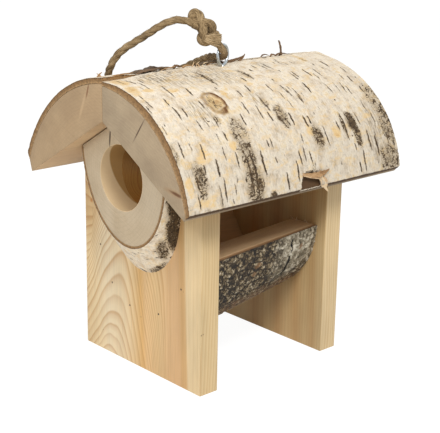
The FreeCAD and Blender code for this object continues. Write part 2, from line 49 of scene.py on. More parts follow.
LAMP_DISTANCE = 1.6
SKY_STRENGTH = 0.48
FLOOR_SIDE = 8.0
FLOOR_DROP = 0.02
FLOOR_TINT = "f0f0ee"
SHADOW_SHARE = 0.2
GLOW = 1.17


def linear(code):
    """An sRGB hex value as the linear colour that a shader takes."""
    parts = [int(code[i : i + 2], 16) / 255 for i in (0, 2, 4)]
    return [c / 12.92 if c <= 0.04045 else ((c + 0.055) / 1.055) ** 2.4 for c in parts] + [1.0]


def out(node):
    """The output of a node that is in use."""
    return next(socket for socket in node.outputs if socket.enabled)


def add(tree, kind, feeds=None, stops=None, **settings):
    """Adds a shader node. Feeds are its inputs by name or number, each a value, a node or an output."""
    made = tree.nodes.new("ShaderNode" + kind)
    for name, value in settings.items():
        setattr(made, name, value)
    for name, value in (feeds or {}).items():
        if isinstance(name, int):
            socket = made.inputs[name]
        else:
            socket = next(s for s in made.inputs if s.enabled and s.name == name)
        if isinstance(value, bpy.types.Node):
            value = out(value)
        if isinstance(value, bpy.types.NodeSocket):
            tree.links.new(value, socket)
        else:
            socket.default_value = value
    if stops:
        made.color_ramp.elements.remove(made.color_ramp.elements[0])
        for number, (place, tint) in enumerate(stops):
            stop = made.color_ramp.elements.new(place) if number else made.color_ramp.elements[0]
            stop.position = place
            stop.color = linear(tint) if isinstance(tint, str) else (tint, tint, tint, 1.0)
    return made


def new_material(name, roughness):
    """A material with that name, its node tree and its shader."""
    made = bpy.data.materials.new(name)
    made.use_nodes = True
    shader = made.node_tree.nodes["Principled BSDF"]
    shader.inputs["Roughness"].default_value = roughness
    return made, made.node_tree, shader


def seen_share(tree):
    """1 for rays from the camera, straight or by a reflection, and the node that tells rays apart."""
    rays = add(tree, "LightPath")
    straight, mirrored = rays.outputs["Is Camera Ray"], rays.outputs["Is Glossy Ray"]
    return add(tree, "Math", {0: straight, 1: mirrored}, operation="MAXIMUM"), rays


bpy.ops.object.select_all(action="DESELECT")
bpy.ops.mesh.primitive_plane_add(size=FLOOR_SIDE, location=(0, 0, -FLOOR_DROP * MM))
floor = bpy.context.object
floor.name = "floor"

# Matt white paper: it bounces light up at the feeder, and the camera sees it nearly as white as the sky
paper, tree, shader = new_material("white_paper", 0.9)
shader.inputs["Base Color"].default_value = linear(FLOOR_TINT)
shader.inputs["Specular IOR Level"].default_value = 0.0
seen, _ = seen_share(tree)
share = add(tree, "Math", {0: seen, 1: 1 - SHADOW_SHARE}, operation="MULTIPLY")
glow = add(tree, "Emission", {"Strength": GLOW})
mixed = add(tree, "MixShader", {0: share, 1: shader, 2: glow})
tree.links.new(mixed.outputs[0], tree.nodes["Material Output"].inputs["Surface"])
floor.data.materials.append(paper)

sky = bpy.data.worlds.new("white_sky")
bpy.context.scene.world = sky
sky.use_nodes = True
tree = sky.node_tree
seen, rays = seen_share(tree)
seen = add(tree, "Math", {0: seen, 1: rays.outputs["Is Transmission Ray"]}, operation="MAXIMUM")
strength = add(tree, "MapRange", {"Value": seen, "To Min": SKY_STRENGTH, "To Max": 1.0})
tree.links.new(strength.outputs[0], tree.nodes["Background"].inputs["Strength"])
tree.nodes["Background"].inputs["Color"].default_value = linear("ffffff")

for name, way, side, watts in LAMPS:
    way = Vector(way).normalized()
    bpy.ops.object.light_add(type="AREA", location=way * LAMP_DISTANCE)
    lamp = bpy.context.object
    lamp.name = name
    lamp.rotation_euler = way.to_track_quat("Z", "Y").to_euler()
    lamp.data.shape = "SQUARE"
    lamp.data.size = side
    lamp.data.energy = watts

# The camera stands right of the front, a little above the roof and about a metre away.
AZIMUTH, ELEVATION, ROLL = (math.radians(angle) for angle in (47.17, 16.68, 1.07))
CAMERA_PLACE = Vector((0.6657, -0.6113, 0.3838))
LENS, SENSOR = 93.04, 36.0
back = Vector(
    (math.sin(AZIMUTH) * math.cos(ELEVATION), -math.cos(AZIMUTH) * math.cos(ELEVATION), math.sin(ELEVATION))
)
right = Vector((math.cos(AZIMUTH), math.sin(AZIMUTH), 0))
level = Matrix((right, back.cross(right), back)).transposed()
bpy.ops.object.camera_add(location=CAMERA_PLACE)
camera = bpy.context.object
camera.rotation_euler = (level @ Matrix.Rotation(ROLL, 3, "Z")).to_euler()
camera.data.lens = LENS
camera.data.sensor_width = SENSOR
bpy.context.scene.camera = camera
bpy.context.scene.view_settings.view_transform = "Standard"


# The loop that the feeder hangs by: one limp length of 6 mm jute rope, three strands laid up
# right-handed. It goes up through the screw eye, back over the left slab, round to the front and up
# to the knot that holds both ends.
ROPE_WIDTH = 6.0
ROPE_ROUTE = [
    (5.2, -9.6, 262.6), (9.7, -10.8, 259.2), (13.7, -7.2, 254.0), (10.4, -1.7, 248.0),
    (1.0, -0.9, 245.2), (-9.0, 2.5, 244.9), (-21.0, 7.5, 242.0), (-33.0, 11.0, 238.1),
    (-45.0, 10.8, 232.9), (-56.5, 6.5, 226.5), (-66.5, -2.0, 219.4), (-72.0, -15.0, 215.1),
    (-72.5, -30.0, 214.7), (-69.5, -45.0, 217.2), (-63.2, -57.3, 222.0), (-55.1, -67.0, 227.5),
    (-48.0, -73.0, 233.0), (-41.9, -74.7, 239.9), (-37.7, -73.5, 247.1), (-33.6, -68.8, 253.5),
    (-29.3, -62.0, 258.4), (-24.4, -55.2, 263.6), (-19.4, -48.4, 269.2), (-14.9, -41.7, 273.9),
    (-11.1, -34.8, 276.3), (-7.6, -28.1, 275.8), (-4.0, -22.2, 272.9),
]
LAY_LENGTH = 26.0
STRAND_WIDTH, STRAND_FROM_CENTRE, STRAND_LUMPS = 3.9, 1.1, 0.07
ROPE_FIBRES, FIBRE_WIDTH = 420, 0.09
FIBRE_LENGTHS, FIBRE_RISE, FIBRE_REACH = (2.0, 6.5), (0.15, 0.6), 4.6


def route_line(points):
    """The smooth line of a NURBS spline with these control points, in millimetres."""
    curve = bpy.data.curves.new("route", "CURVE")
    curve.dimensions = "3D"
    curve.resolution_u = 14
    spline = curve.splines.new("NURBS")
    spline.points.add(len(points) - 1)
    for point, place in zip(spline.points, points):
        point.co = (*(MM * c for c in place), 1)
    spline.order_u = 3
    spline.use_endpoint_u = True
    holder = bpy.data.objects.new("route", curve)
    line = bpy.data.meshes.new_from_object(holder)
    places = [v.co / MM for v in line.vertices]
    bpy.data.objects.remove(holder)
    return places


def frames_along(line):
    """Where each step of a line is, its direction, and two directions across it that don't twist."""
    steps, side = [], None
    for number, place in enumerate(line):
        ahead = line[min(number + 1, len(line) - 1)] - line[max(number - 1, 0)]
        ahead.normalize()
        side = ahead.orthogonal() if side is None else side - side.dot(ahead) * ahead
        side.normalize()
        steps.append((place, ahead, side.copy(), ahead.cross(side)))
    return steps


def select_only(*pieces):
    """Selects these pieces, the first one active."""
    bpy.ops.object.select_all(action="DESELECT")
    for piece in pieces:
        piece.select_set(True)
    bpy.context.view_layer.objects.active = pieces[0]


def joined(name, pieces):
    """The pieces as one, which is the first of them."""
    select_only(*pieces)
    bpy.ops.object.join()
    pieces[0].name = name
    return pieces[0]


def rounds(name, lines, widths, fineness):
    """One mesh of round threads: each line is a list of places, and widths gives its thickness there."""
    curve = bpy.data.curves.new(name, "CURVE")
    curve.dimensions = "3D"
    curve.bevel_depth = 0.5 * MM
    curve.bevel_resolution = fineness
    curve.use_fill_caps = True
    for line, thickness in zip(lines, widths):
        spline = curve.splines.new("POLY")
        spline.points.add(len(line) - 1)
        for point, place, width in zip(spline.points, line, thickness):
            point.co = (*(MM * c for c in place), 1)
            point.radius = width
    made = bpy.data.objects.new(name, curve)
    bpy.context.scene.collection.objects.link(made)
    select_only(made)
    bpy.ops.object.convert(target="MESH")
    return bpy.context.object


def read(items, name, width, kind=np.float32):
    """What a mesh's points, edges or corners hold under that name, one row each."""
    values = np.empty(len(items) * width, kind)
    items.foreach_get(name, values)
    return values.reshape(-1, width)


def write_uv(piece, laid):
    """Writes a piece's UV map, a place for each corner of its faces."""
    piece.data.uv_layers[0].uv.foreach_set("vector", laid.astype(np.float32).ravel())


def laid_rope(name, line, draws, fibres, width=STRAND_WIDTH, from_centre=STRAND_FROM_CENTRE):
    """Three strands laid round a line, with loose fibres standing out of them, as one mesh. Its UV map
    is in millimetres: round a strand, and along it, where a strand is a tenth longer than the rope."""
    steps = frames_along(line)
    gone = [0.0]
    for before, after in zip(line, line[1:]):
        gone.append(gone[-1] + (after - before).length)
    strands, thickness = [], []
    for strand in range(3):
        wound, thick = [], []
        for (place, ahead, side, up), length in zip(steps, gone):
            angle = 2 * math.pi * (strand / 3 + length / LAY_LENGTH)
            lump = noise.noise(Vector((length * 0.12, strand * 9.0, 3.0)))
            wound.append(place + (side * math.cos(angle) + up * math.sin(angle)) * from_centre)
            thick.append(width * (1 + STRAND_LUMPS * lump))
        strands.append(wound)
        thickness.append(thick)
    rope = rounds(name, strands, thickness, 3)
    write_uv(rope, read(rope.data.uv_layers[0].uv, "vector", 2) * (math.pi * width, gone[-1] * 1.1))
    hairs, thin = [], []
    for _ in range(fibres):
        place, ahead, side, up = steps[draws.randrange(3, len(steps) - 3)]
        angle = draws.uniform(0, 2 * math.pi)
        outwards = side * math.cos(angle) + up * math.sin(angle)
        along = ahead * draws.choice((-1, 1))
        reach = draws.uniform(*FIBRE_LENGTHS)
        rise = draws.uniform(*FIBRE_RISE)
        start = place + outwards * (0.42 * ROPE_WIDTH)
        turned = ahead.cross(outwards) * draws.uniform(-0.6, 0.6)
        hair = [
            start + (along * 0.8 + turned * t) * (reach * t) + outwards * (reach * rise * t * (1 - 0.45 * t))
            for t in (0.0, 0.35, 0.7, 1.0)
        ]
        hairs.append([place + (p - place).normalized() * min((p - place).length, FIBRE_REACH) for p in hair])
        thin.append([FIBRE_WIDTH, FIBRE_WIDTH, FIBRE_WIDTH * 0.8, FIBRE_WIDTH * 0.4])
    rope = joined(name, [rope, rounds(name + "_fibres", hairs, thin, 0)])
    bpy.ops.object.shade_smooth()
    return rope


def place_on(tree):
    """Where a point of the piece is, in millimetres."""
    place = add(tree, "TexCoord").outputs["Object"]
    return add(tree, "VectorMath", {0: place, "Scale": 1 / MM}, operation="SCALE")


def streaks(tree, place, sizes, detail, roughness=0.5, distortion=0.0):
    """Noise stretched to streaks or clouds: sizes are one over their length each way."""
    drawn = add(tree, "VectorMath", {0: place, 1: sizes}, operation="MULTIPLY")
    grade = {"Scale": 1.0, "Detail": detail, "Roughness": roughness, "Distortion": distortion}
    return add(tree, "TexNoise", {"Vector": drawn, **grade})


def dress(tree, shader, colour, height, strength, deep):
    """Gives a shader its colour, and a relief that is this many millimetres deep."""
    tree.links.new(out(colour), shader.inputs["Base Color"])
    bump = add(tree, "Bump", {"Strength": strength, "Distance": deep * MM, "Height": height})
    tree.links.new(bump.outputs[0], shader.inputs["Normal"])


def jute(name, paler=0.0):
    """Jute: bast fibres spun to strands, so fine streaks of straw and brown run along each one. The
    streaks are drawn 0.35 mm wide, coarser than the fibres, to show at all."""
    made, tree, shader = new_material(name, 0.92)
    laid = add(tree, "UVMap")
    fibre = streaks(tree, laid, (1 / 0.35, 1 / 7, 1), 5.0, 0.7)
    cloud = add(tree, "TexNoise", {"Vector": place_on(tree), "Scale": 1 / 9, "Detail": 3.0})
    mixed = add(tree, "Math", {0: cloud, 1: 0.35, 2: fibre}, operation="MULTIPLY_ADD")
    mixed = add(tree, "Math", {0: mixed, 1: paler})
    tints = [(0.44, "35271a"), (0.56, "5d4a32"), (0.68, "846d4b"), (0.8, "ab926d"), (0.94, "cfb893")]
    colour = add(tree, "ValToRGB", {0: mixed}, tints)
    dress(tree, shader, colour, fibre, 0.8, 0.3)
    return made


def set_down(piece, node):
    """Puts a finished piece in its node's place on the house."""
    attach(piece, "root")
    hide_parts(node)


draws = random.Random(7)
jute_fibre = jute("jute_rope")
rope_line = route_line(ROPE_ROUTE)
hanging_rope = laid_rope("jute_rope_loop", rope_line, draws, ROPE_FIBRES)
hanging_rope.data.materials.append(jute_fibre)


# The knot that closes the loop: the same rope in an overhand knot, pulled tight. Its cut end points
# at the screw eye and has opened out to a brush of paler fibres.
KNOT_ROUTE = [
    (-4.0, -22.2, 272.9), (-1.4, -19.6, 271.2), (1.0, -16.6, 267.6), (0.4, -16.4, 262.4), (3.6, -16.8, 259.4),
    (5.6, -18.4, 263.6), (3.4, -19.0, 269.0), (0.6, -18.6, 274.8), (-1.8, -18.8, 280.4), (-5.0, -20.8, 281.9),
    (-7.0, -22.6, 276.8), (-3.4, -20.4, 273.0), (1.2, -18.4, 274.6), (4.6, -16.4, 274.4), (5.9, -12.8, 272.8),
    (5.4, -10.9, 269.2), (2.5, -11.6, 266.4), (-1.2, -14.0, 265.0), (-1.4, -17.6, 262.6), (1.8, -18.7, 259.6),
    (6.3, -17.6, 259.8), (8.9, -15.8, 262.4), (9.6, -12.6, 263.6), (8.4, -10.0, 264.2), (6.0, -8.8, 264.9),
    (4.4, -9.2, 264.4), (5.2, -9.6, 262.6),
]
KNOT_FIBRES, KNOT_STRAND_WIDTH, KNOT_STRAND_FROM_CENTRE = 130, 4.9, 1.3
TUFT_START, TUFT_TIP = Vector((7.8, -21.2, 262.6)), Vector((12.4, -8.6, 260.4))
TUFT_WIDTHS, TUFT_FIBRES, TUFT_SWAY = (2.4, 5.6), 230, 0.5
TUFT_STEPS, TUFT_FIBRE_WIDTHS = (0.0, 0.3, 0.6, 0.85, 1.0), [0.75, 0.75, 0.7, 0.6, 0.4]


def tuft(name, draws):
    """The cut end of the rope, opened out to a brush of fibres."""
    ahead = (TUFT_TIP - TUFT_START).normalized()
    side = ahead.cross(Vector((0, 0, 1))).normalized()
    up = side.cross(ahead)
    reach = (TUFT_TIP - TUFT_START).length
    hairs = []
    for _ in range(TUFT_FIBRES):
        angle = draws.uniform(0, 2 * math.pi)
        out_from = math.sqrt(draws.uniform(0.1, 1))
        outwards = (side * (0.7 * math.cos(angle)) + up * math.sin(angle)) * out_from
        sway = (side * draws.uniform(-1, 1) + up * draws.uniform(-1, 1)) * TUFT_SWAY
        length = reach * draws.uniform(0.86, 1.0)
        hair = []
        for t in TUFT_STEPS:
            wide = TUFT_WIDTHS[0] + (TUFT_WIDTHS[1] - TUFT_WIDTHS[0]) * t
            hair.append(TUFT_START + ahead * (length * t) + outwards * wide + sway * math.sin(3 * t))
        hairs.append(hair)
    brush = rounds(name, hairs, [TUFT_FIBRE_WIDTHS] * TUFT_FIBRES, 0)
    laid = read(brush.data.uv_layers[0].uv, "vector", 2).reshape(TUFT_FIBRES, -1, 2) * (0.5, reach)
    write_uv(brush, laid + np.arange(TUFT_FIBRES).reshape(-1, 1, 1) * (0.77, 2.3))
    bpy.ops.object.shade_smooth()
    return brush


knot_line = route_line(KNOT_ROUTE)
knot = laid_rope("jute_rope_knot", knot_line, draws, KNOT_FIBRES, KNOT_STRAND_WIDTH, KNOT_STRAND_FROM_CENTRE)
knot.data.materials.append(jute_fibre)
rope_end = tuft("jute_rope_end", draws)
rope_end.data.materials.append(jute("jute_cut_end", 0.1))
knot = joined("jute_rope_knot", [knot, rope_end])
set_down(knot, "rope_knot")
set_down(hanging_rope, "hanging_rope")


# The two upright boards: planed pine, 18 mm thick, cut square at the foot and to a gable under the
# roof. The front one is bored for the entrance. A light sanding has eased their edges.
EASED_EDGE = 0.5
SHARP_CORNER = 40
FRONT_FACE, FRONT_INNER_FACE = -79.0, -61.0
BACK_INNER_FACE, BACK_FACE = 56.5, 74.5
BOARD_HALF, ZONES_TO = 72.5, 81.5
HOLE_ACROSS, HOLE_UP, HOLE_RADIUS = 3, 163, 25.75
RIM_PULL = 0.055
PINE_SPECKS = [(0.5, 44, 0.6), (52, 80, 0.5), (-50, 17, 0.5)]
EDGE_SPECKS = [(-78.2, 50.5, 0.8), (-76.5, 51.0, 0.7)]
RESIN_STREAK = (-64, 127, 2.2)


def finish_with(piece, kind, **settings):
    """Adds a modifier to a piece and applies it."""
    select_only(piece)
    made = piece.modifiers.new(kind, kind)
    for name, value in settings.items():
        setattr(made, name, value)
    bpy.ops.object.modifier_apply(modifier=made.name)


def trued_copy(node, name, ease):
    """The sawn piece as one clean mesh, with its sharp edges eased."""
    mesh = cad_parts[node].data.copy()
    mesh.materials.clear()
    piece = bpy.data.objects.new(name, mesh)
    bpy.context.scene.collection.objects.link(piece)
    select_only(piece)
    bpy.ops.object.mode_set(mode="EDIT")
    bpy.ops.mesh.select_all(action="SELECT")
    bpy.ops.mesh.remove_doubles(threshold=0.01 * MM)
    bpy.ops.mesh.dissolve_limited(angle_limit=math.radians(0.5))
    bpy.ops.object.mode_set(mode="OBJECT")
    corner = math.radians(SHARP_CORNER)
    finish_with(piece, "BEVEL", width=ease * MM, segments=2, limit_method="ANGLE", angle_limit=corner)
    bpy.ops.object.shade_smooth_by_angle(angle=math.radians(25))
    return piece


def bore_wall(tree, place, most):
    """How much a place is on the wall of the entrance hole: most on it, and 0 off it."""
    flat = add(tree, "VectorMath", {0: place, 1: (1, 0, 1)}, operation="MULTIPLY")
    away = add(tree, "VectorMath", {0: flat, 1: (HOLE_ACROSS, 0, HOLE_UP)}, operation="DISTANCE")
    close = {"From Min": HOLE_RADIUS + 0.45, "From Max": HOLE_RADIUS + 0.15, "To Max": most}
    return add(tree, "MapRange", {"Value": away.outputs["Value"], **close})


def pine(name, pith, lean, climb, rings, zones, inner_face, bore, specks):
    """Planed pine, sawn flat beside the tree's middle, with a dull sheen. Rings are years counted
    outwards from the face, at most 100, so that arches show where the face only grazes them; zones
    are the wood's colours across the board. Its edges and inner face are sawn, so they are darker.
    Painted shade makes the wood amber and darker high on the inner face, and, as much as bore
    says, in the bore, on the front board's top under the roof and in the log slice's shadow left of it."""
    made, tree, shader = new_material(name, 0.58)
    place = place_on(tree)
    slow = add(tree, "VectorMath", {0: place, 1: (1 / 60, 1 / 60, 1 / 230)}, operation="MULTIPLY")
    wander = add(tree, "TexNoise", {"Vector": slow, "Scale": 1.0, "Detail": 3.0})
    wander = add(tree, "VectorMath", {0: wander.outputs["Color"], 1: (0.5, 0.5, 0.5)}, operation="SUBTRACT")
    wander = add(tree, "VectorMath", {0: wander, "Scale": 11.0}, operation="SCALE")
    bent = add(tree, "VectorMath", {0: place, 1: wander}, operation="ADD")
    x, y, z = add(tree, "SeparateXYZ", {0: bent}).outputs
    lean = add(tree, "MapRange", {"Value": x, "From Min": -32, "From Max": 24, "To Min": -lean, "To Max": 0})
    across = add(tree, "Math", {0: z, 1: lean, 2: x}, operation="MULTIPLY_ADD")
    flat = add(tree, "CombineXYZ", {"X": across, "Y": y})
    spoke = add(tree, "VectorMath", {0: flat, 1: (*pith, 0)}, operation="SUBTRACT")
    radius = add(tree, "VectorMath", {0: spoke}, operation="LENGTH").outputs["Value"]
    climb = add(
        tree, "MapRange", {"Value": radius, "From Min": 72, "From Max": 96, "To Min": climb, "To Max": 0}
    )
    grown = add(tree, "Math", {0: z, 1: climb, 2: radius}, operation="MULTIPLY_ADD")

    # Years: slow to begin and dark at their end, some stronger than others
    first, last = rings[0][0], rings[-1][0]
    share = add(tree, "MapRange", {"Value": grown, "From Min": first, "From Max": last})
    counted = [((out_to - first) / (last - first), years / 100) for out_to, years in rings]
    count = add(tree, "ValToRGB", {0: share}, counted)
    ring = add(tree, "Math", {0: count, 1: 100.0}, operation="MULTIPLY")
    phase = add(tree, "Math", {0: ring}, operation="FRACT")
    in_year = [(0.0, 0.12), (0.08, 0.0), (0.35, 0.03), (0.7, 0.5), (0.9, 1.0), (1.0, 0.3)]
    late = add(tree, "ValToRGB", {0: phase}, in_year)
    year = add(tree, "TexNoise", {"W": ring, "Scale": 0.61, "Detail": 1.0}, noise_dimensions="1D")
    strong = add(
        tree, "MapRange", {"Value": year, "From Min": 0.3, "From Max": 0.7, "To Min": 0.3, "To Max": 0.75}
    )
    late = add(tree, "Math", {0: late, 1: strong}, operation="MULTIPLY")

    # Sawn faces: the board's two edges and its inner face
    x, y, z = add(tree, "SeparateXYZ", {0: place}).outputs
    beyond = add(tree, "Math", {0: x}, operation="ABSOLUTE")
    edges = {"From Min": BOARD_HALF - 0.6, "From Max": BOARD_HALF - 0.2, "To Max": 0.6}
    beyond = add(tree, "MapRange", {"Value": beyond, **edges})
    inwards = add(tree, "Math", {0: y, 1: inner_face}, operation="SUBTRACT")
    inwards = add(tree, "Math", {0: inwards}, operation="ABSOLUTE")
    inwards = add(tree, "MapRange", {"Value": inwards, "From Min": 0.9, "From Max": 0.4})
    sawn = add(tree, "Math", {0: beyond, 1: inwards}, operation="MAXIMUM")
    quieter = add(tree, "MapRange", {"Value": sawn, "To Min": 1.0, "To Max": 0.42})
    late = add(tree, "Math", {0: late, 1: quieter}, operation="MULTIPLY")

    # Colour: the zones, darker late wood, fine fibres and slow clouds
    fibre = streaks(tree, place, (1 / 0.6, 1 / 0.6, 1 / 26), 4.0, 0.65)
    zone = add(tree, "Math", {0: z, 1: 0.043, 2: x}, operation="MULTIPLY_ADD")
    zone = add(tree, "MapRange", {"Value": zone, "From Min": -BOARD_HALF, "From Max": ZONES_TO})
    across = [((reach + BOARD_HALF) / (ZONES_TO + BOARD_HALF), tint) for reach, tint in zones]
    base = add(tree, "ValToRGB", {0: zone}, across)
    lines = add(tree, "Mix", {"Factor": late, "A": base, "B": linear("bf8a4c")}, data_type="RGBA")
    grain = add(
        tree, "MapRange", {"Value": fibre, "From Min": 0.25, "From Max": 0.75, "To Min": 0.87, "To Max": 1.07}
    )
    cloudy = add(tree, "TexNoise", {"Vector": slow, "Scale": 3.0, "Detail": 2.0})
    cloudy = add(
        tree, "MapRange", {"Value": cloudy, "From Min": 0.3, "From Max": 0.7, "To Min": 0.9, "To Max": 1.05}
    )
    grain = add(tree, "Math", {0: grain, 1: cloudy}, operation="MULTIPLY")
    colour = add(tree, "VectorMath", {0: lines, "Scale": grain}, operation="SCALE")

    # Painted shade, amber and darker: in the bore, high on the inner face, on the top under the roof, and the
    # log slice's shadow on the board left of it
    bored = bore_wall(tree, place, bore)
    painted_inner_shade = add(tree, "MapRange", {"Value": z, "From Min": 90, "From Max": 160, "To Max": 0.8})
    painted_inner_shade = add(tree, "Math", {0: painted_inner_shade, 1: inwards}, operation="MULTIPLY")
    painted_roof_shade = add(tree, "MapRange", {"Value": z, "From Min": 118, "From Max": 172, "To Max": 0.6 * bore})
    painted_slice_shadow = add(tree, "VectorMath", {0: place, 1: (1 / 16, 0, 1 / 46)}, operation="MULTIPLY")
    painted_slice_shadow = add(
        tree, "VectorMath", {0: painted_slice_shadow, 1: (-66 / 16, 0, 138 / 46)}, operation="DISTANCE"
    ).outputs["Value"]
    painted_slice_shadow = add(tree, "MapRange", {"Value": painted_slice_shadow, "From Min": 1.15, "From Max": 0.6, "To Max": 0.5 * bore})
    painted_shade = bored
    for other in (painted_inner_shade, painted_roof_shade, painted_slice_shadow):
        painted_shade = add(tree, "Math", {0: painted_shade, 1: other}, operation="MAXIMUM")
    # Sawn faces are darker wood; then the painted shade, and a second, greyer painted shade in the bore
    for much, tint in ((sawn, "d8d0c2"), (painted_shade, "d3b684"), (bored, "d6ceb8")):
        under = {"Factor": much, "A": colour, "B": linear(tint)}
        colour = add(tree, "Mix", under, data_type="RGBA", blend_type="MULTIPLY")
    for spot, size, tint in specks:
        apart = add(tree, "VectorMath", {0: place, 1: spot}, operation="DISTANCE").outputs["Value"]
        inside = add(
            tree, "MapRange", {"Value": apart, "From Min": size, "From Max": size * 0.4, "To Max": 0.85}
        )
        colour = add(tree, "Mix", {"Factor": inside, "A": colour, "B": linear(tint)}, data_type="RGBA")
    height = add(tree, "Math", {0: late, 1: 0.6, 2: fibre}, operation="MULTIPLY_ADD")
    dress(tree, shader, colour, height, 0.35, 0.12)
    return made


FRONT_RINGS = [
    (47, 0), (57, 5), (62, 7.4), (68, 9.4), (77, 11.8), (82, 14), (96, 24), (116, 40), (150, 70), (190, 100),
]
FRONT_ZONES = [
    (-72, "eacd9d"), (-58, "edd4a7"), (-40, "f2deba"), (-16, "efd6ac"), (-4, "e9c791"), (3, "e3b673"),
    (9, "e6c18d"), (24, "e6c48f"), (38, "e0b988"), (49, "ddb686"), (53, "d3aa72"), (57, "d9b27c"),
    (59, "edd6aa"), (79, "ecd3a4"),
]
BACK_RINGS = [(120, 0), (190, 36), (300, 100)]
BACK_ZONES = [
    (-70, "e3c492"), (-42, "dbb47e"), (-22, "e7c998"), (-6, "d9af78"), (10, "e7ca98"), (22, "dcb580"),
    (33, "e8cc9c"), (44, "dfba86"), (54, "e9cfa0"), (63, "e1bf8d"), (70, "ecd5aa"), (79, "ecd5aa"),
]
dents = [((x, FRONT_FACE, z), size, "7a5a36") for x, z, size in PINE_SPECKS]
dents += [((BOARD_HALF, y, z), size, "6d5132") for y, z, size in EDGE_SPECKS]
dents += [((RESIN_STREAK[0], FRONT_FACE, RESIN_STREAK[1]), RESIN_STREAK[2], "b9793a")]
front_board = trued_copy("front_board", "front_board_planed", EASED_EDGE)
for point in front_board.data.vertices:
    from_axis = Vector((point.co.x / MM - HOLE_ACROSS, 0, point.co.z / MM - HOLE_UP))
    if point.co.y / MM > FRONT_INNER_FACE - 2 and from_axis.length < HOLE_RADIUS + 1.25 and from_axis.x < 0:
        point.co -= from_axis * (RIM_PULL * MM)
FRONT_PITH, BACK_PITH = (-42.3, FRONT_FACE + 57), (-45, -60)
front_pine = pine(
    "planed_pine_front", FRONT_PITH, 0.21, 0.2, FRONT_RINGS, FRONT_ZONES, FRONT_INNER_FACE, 1.0, dents
)
front_board.data.materials.append(front_pine)
set_down(front_board, "front_board")
back_board = trued_copy("back_board", "back_board_planed", EASED_EDGE)
back_pine = pine("planed_pine_back", BACK_PITH, 0.0, 0.03, BACK_RINGS, BACK_ZONES, BACK_INNER_FACE, 0.0, [])
back_board.data.materials.append(back_pine)
set_down(back_board, "back_board")


# The roof's wood: two slabs sawn off a birch log, their flat faces down and their edges butted at
# the ridge. The ends are cross-cut, so they show end grain, faint rings and drying cracks.
RIGHT_RINGS = (4.5, 142.7)
LEFT_RINGS = (9.9, 121.6)
RING_WIDTH = 2.6
SLAB_END = -115.0
SAWN_EDGE = 0.35


